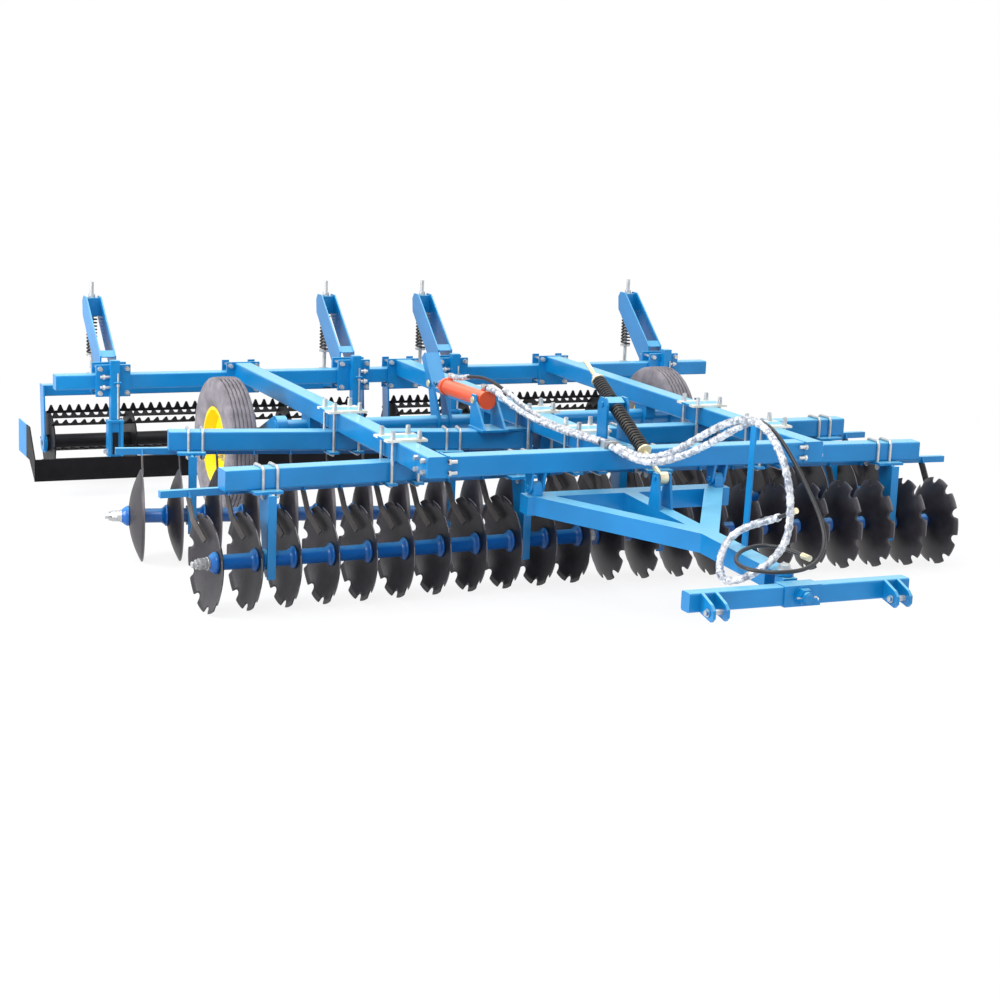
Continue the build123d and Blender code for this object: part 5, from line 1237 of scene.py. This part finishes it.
# Each levelling spring has one end on the rod and the other on the sliding block
for name, (low, high), windings, bodies in (
    ("lower", lower, 17.0, ("levelling_rod", "trunnion")),
    ("upper", upper, 9.5, ("trunnion", "levelling_rod")),
):
    foot, height = LEVEL_PIN + LEVEL_UP * (low + COIL_CLEAR), high - low - 2 * COIL_CLEAR
    made = coil(
        f"levelling_coil_{name}", None, [foot], LEVEL_UP, height, LEVEL_COIL, LEVEL_WIRE, windings,
        f"levelling_spring_{name}")
    LEVEL_PIN + LEVEL_UP * low
    LEVEL_PIN + LEVEL_UP * high
    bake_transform(made)
feet = [Vector((x, DOWN_SPRING_Y, DOWN_SPRING_Z)) for x in MAST_X]
coil("down_coils", "frame", feet, UP, DOWN_SPRING_HEIGHT, DOWN_COIL, DOWN_WIRE, 11.0, "down_springs")

# The nut on the levelling rod's thread
nut_up = LEVEL_RUN + BLOCK_HALF + UPPER_SPRING + 2 * COIL_CLEAR
tops = [(LEVEL_PIN + LEVEL_UP * nut_up, LEVEL_UP, LEVEL_NUT)]
nuts("levelling_nut", "levelling_rod", ZINC, tops, Washer=0.6, Height=0.8, Stud_radius=0.28, Stud_out=0.01)

# --- Film round the hoses: from and to where along each line, and how loose a sleeve ---
WRAPPED = (
    ("rod", "rear", 0.01, 0.24, 0.017),
    ("rod", "rear", 0.66, 1.93, 0.0175),
    ("cap", "rear", 0.03, 1.36, 0.0175),
    ("rod", "front", 0.03, 3.20, 0.020),
    ("cap", "front", 0.03, 1.30, 0.020),
)
FOLD_STEP, END_CLEAR = 0.011, 0.01
for index, (kind, place, start, end, loose) in enumerate(WRAPPED):
    line = LINES[kind, place]
    path = stretch_of(line, start, min(end, length_of(line) - END_CLEAR), FOLD_STEP)
    sleeve = Shape()
    sleeve.tube(path, crinkle(loose), 14)
    made = piece(f"film_{kind}_{place}_{index}", sleeve, FILM, None)
    line[0] + BLEND_RUN
    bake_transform(made)

# --- Floor, sky and lamps ---
FLOOR_HALF = 60
FLOOR_FADE, FLOOR_WHITE = (3.5, 9.0), (0.86, 1.0)
WHITE, SKY, SKY_STRENGTH = (1, 1, 1, 1), (0.92, 0.96, 1.0, 1), 0.62


def pale_floor(graph):
    cloud = graph.noise(0.6, 2.0)
    return {"Base Color": graph.mix(cloud, srgb(243, 244, 246), srgb(250, 250, 251)), "Roughness": 0.9}


def nearly_white(graph, shader):
    """Seen straight, the floor is nearly as white as the sky and keeps a faint shadow round the machine."""
    lit = graph.node("ShaderNodeEmission", {}, {"Color": WHITE, "Strength": 1.0})
    away = graph.node("ShaderNodeVectorMath", {"operation": "LENGTH"}, [graph.place()], "Value")
    share = graph.seen() * away.clamped(*FLOOR_FADE, *FLOOR_WHITE)
    return graph.node("ShaderNodeMixShader", {}, [share, shader, lit])


PALE = material("pale_floor", pale_floor, "floor", nearly_white, Specular_IOR_Level=0.1)
corners = [(x * FLOOR_HALF, y * FLOOR_HALF, 0) for x, y in ((-1, -1), (1, -1), (1, 1), (-1, 1))]
floor = Shape()
floor.take(corners, [(0, 1, 2, 3)])
ground = bpy.data.objects.new("floor", floor.mesh("floor"))
ground.data.materials.append(PALE)
bpy.context.collection.objects.link(ground)

world = bpy.data.worlds.new("sky")
world.use_nodes = True
sky = Graph(world.node_tree)
white = sky.node("ShaderNodeBackground", {}, {"Color": WHITE, "Strength": 1.0})
dim = sky.node("ShaderNodeBackground", {}, {"Color": SKY, "Strength": SKY_STRENGTH})
both = sky.node("ShaderNodeMixShader", {}, [sky.seen(), dim, white])
sky.node("ShaderNodeOutputWorld", {}, {"Surface": both})
bpy.context.scene.world = world

for name, place, aim, size, power in (
    ("key", (-5.5, -6.5, 8.5), (0, 0, 0.6), 5.0, 560),
    ("overhead", (1.0, 1.0, 9.0), (0, 0.5, 0.6), 8.0, 520),
    ("left", (-9.5, 1.5, 3.6), (-1.0, 0.5, 0.7), 4.0, 640),
    ("fill", (7.0, -7.0, 4.0), (0.5, 0, 0.6), 5.0, 120),
):
    lamp = bpy.data.objects.new(name, bpy.data.lights.new(name, "AREA"))
    lamp.data.size = size
    lamp.data.energy = power
    lamp.location = place
    lamp.rotation_euler = (Vector(aim) - Vector(place)).to_track_quat("-Z", "Y").to_euler()
    bpy.context.collection.objects.link(lamp)

bpy.context.scene.view_settings.view_transform = "Standard"
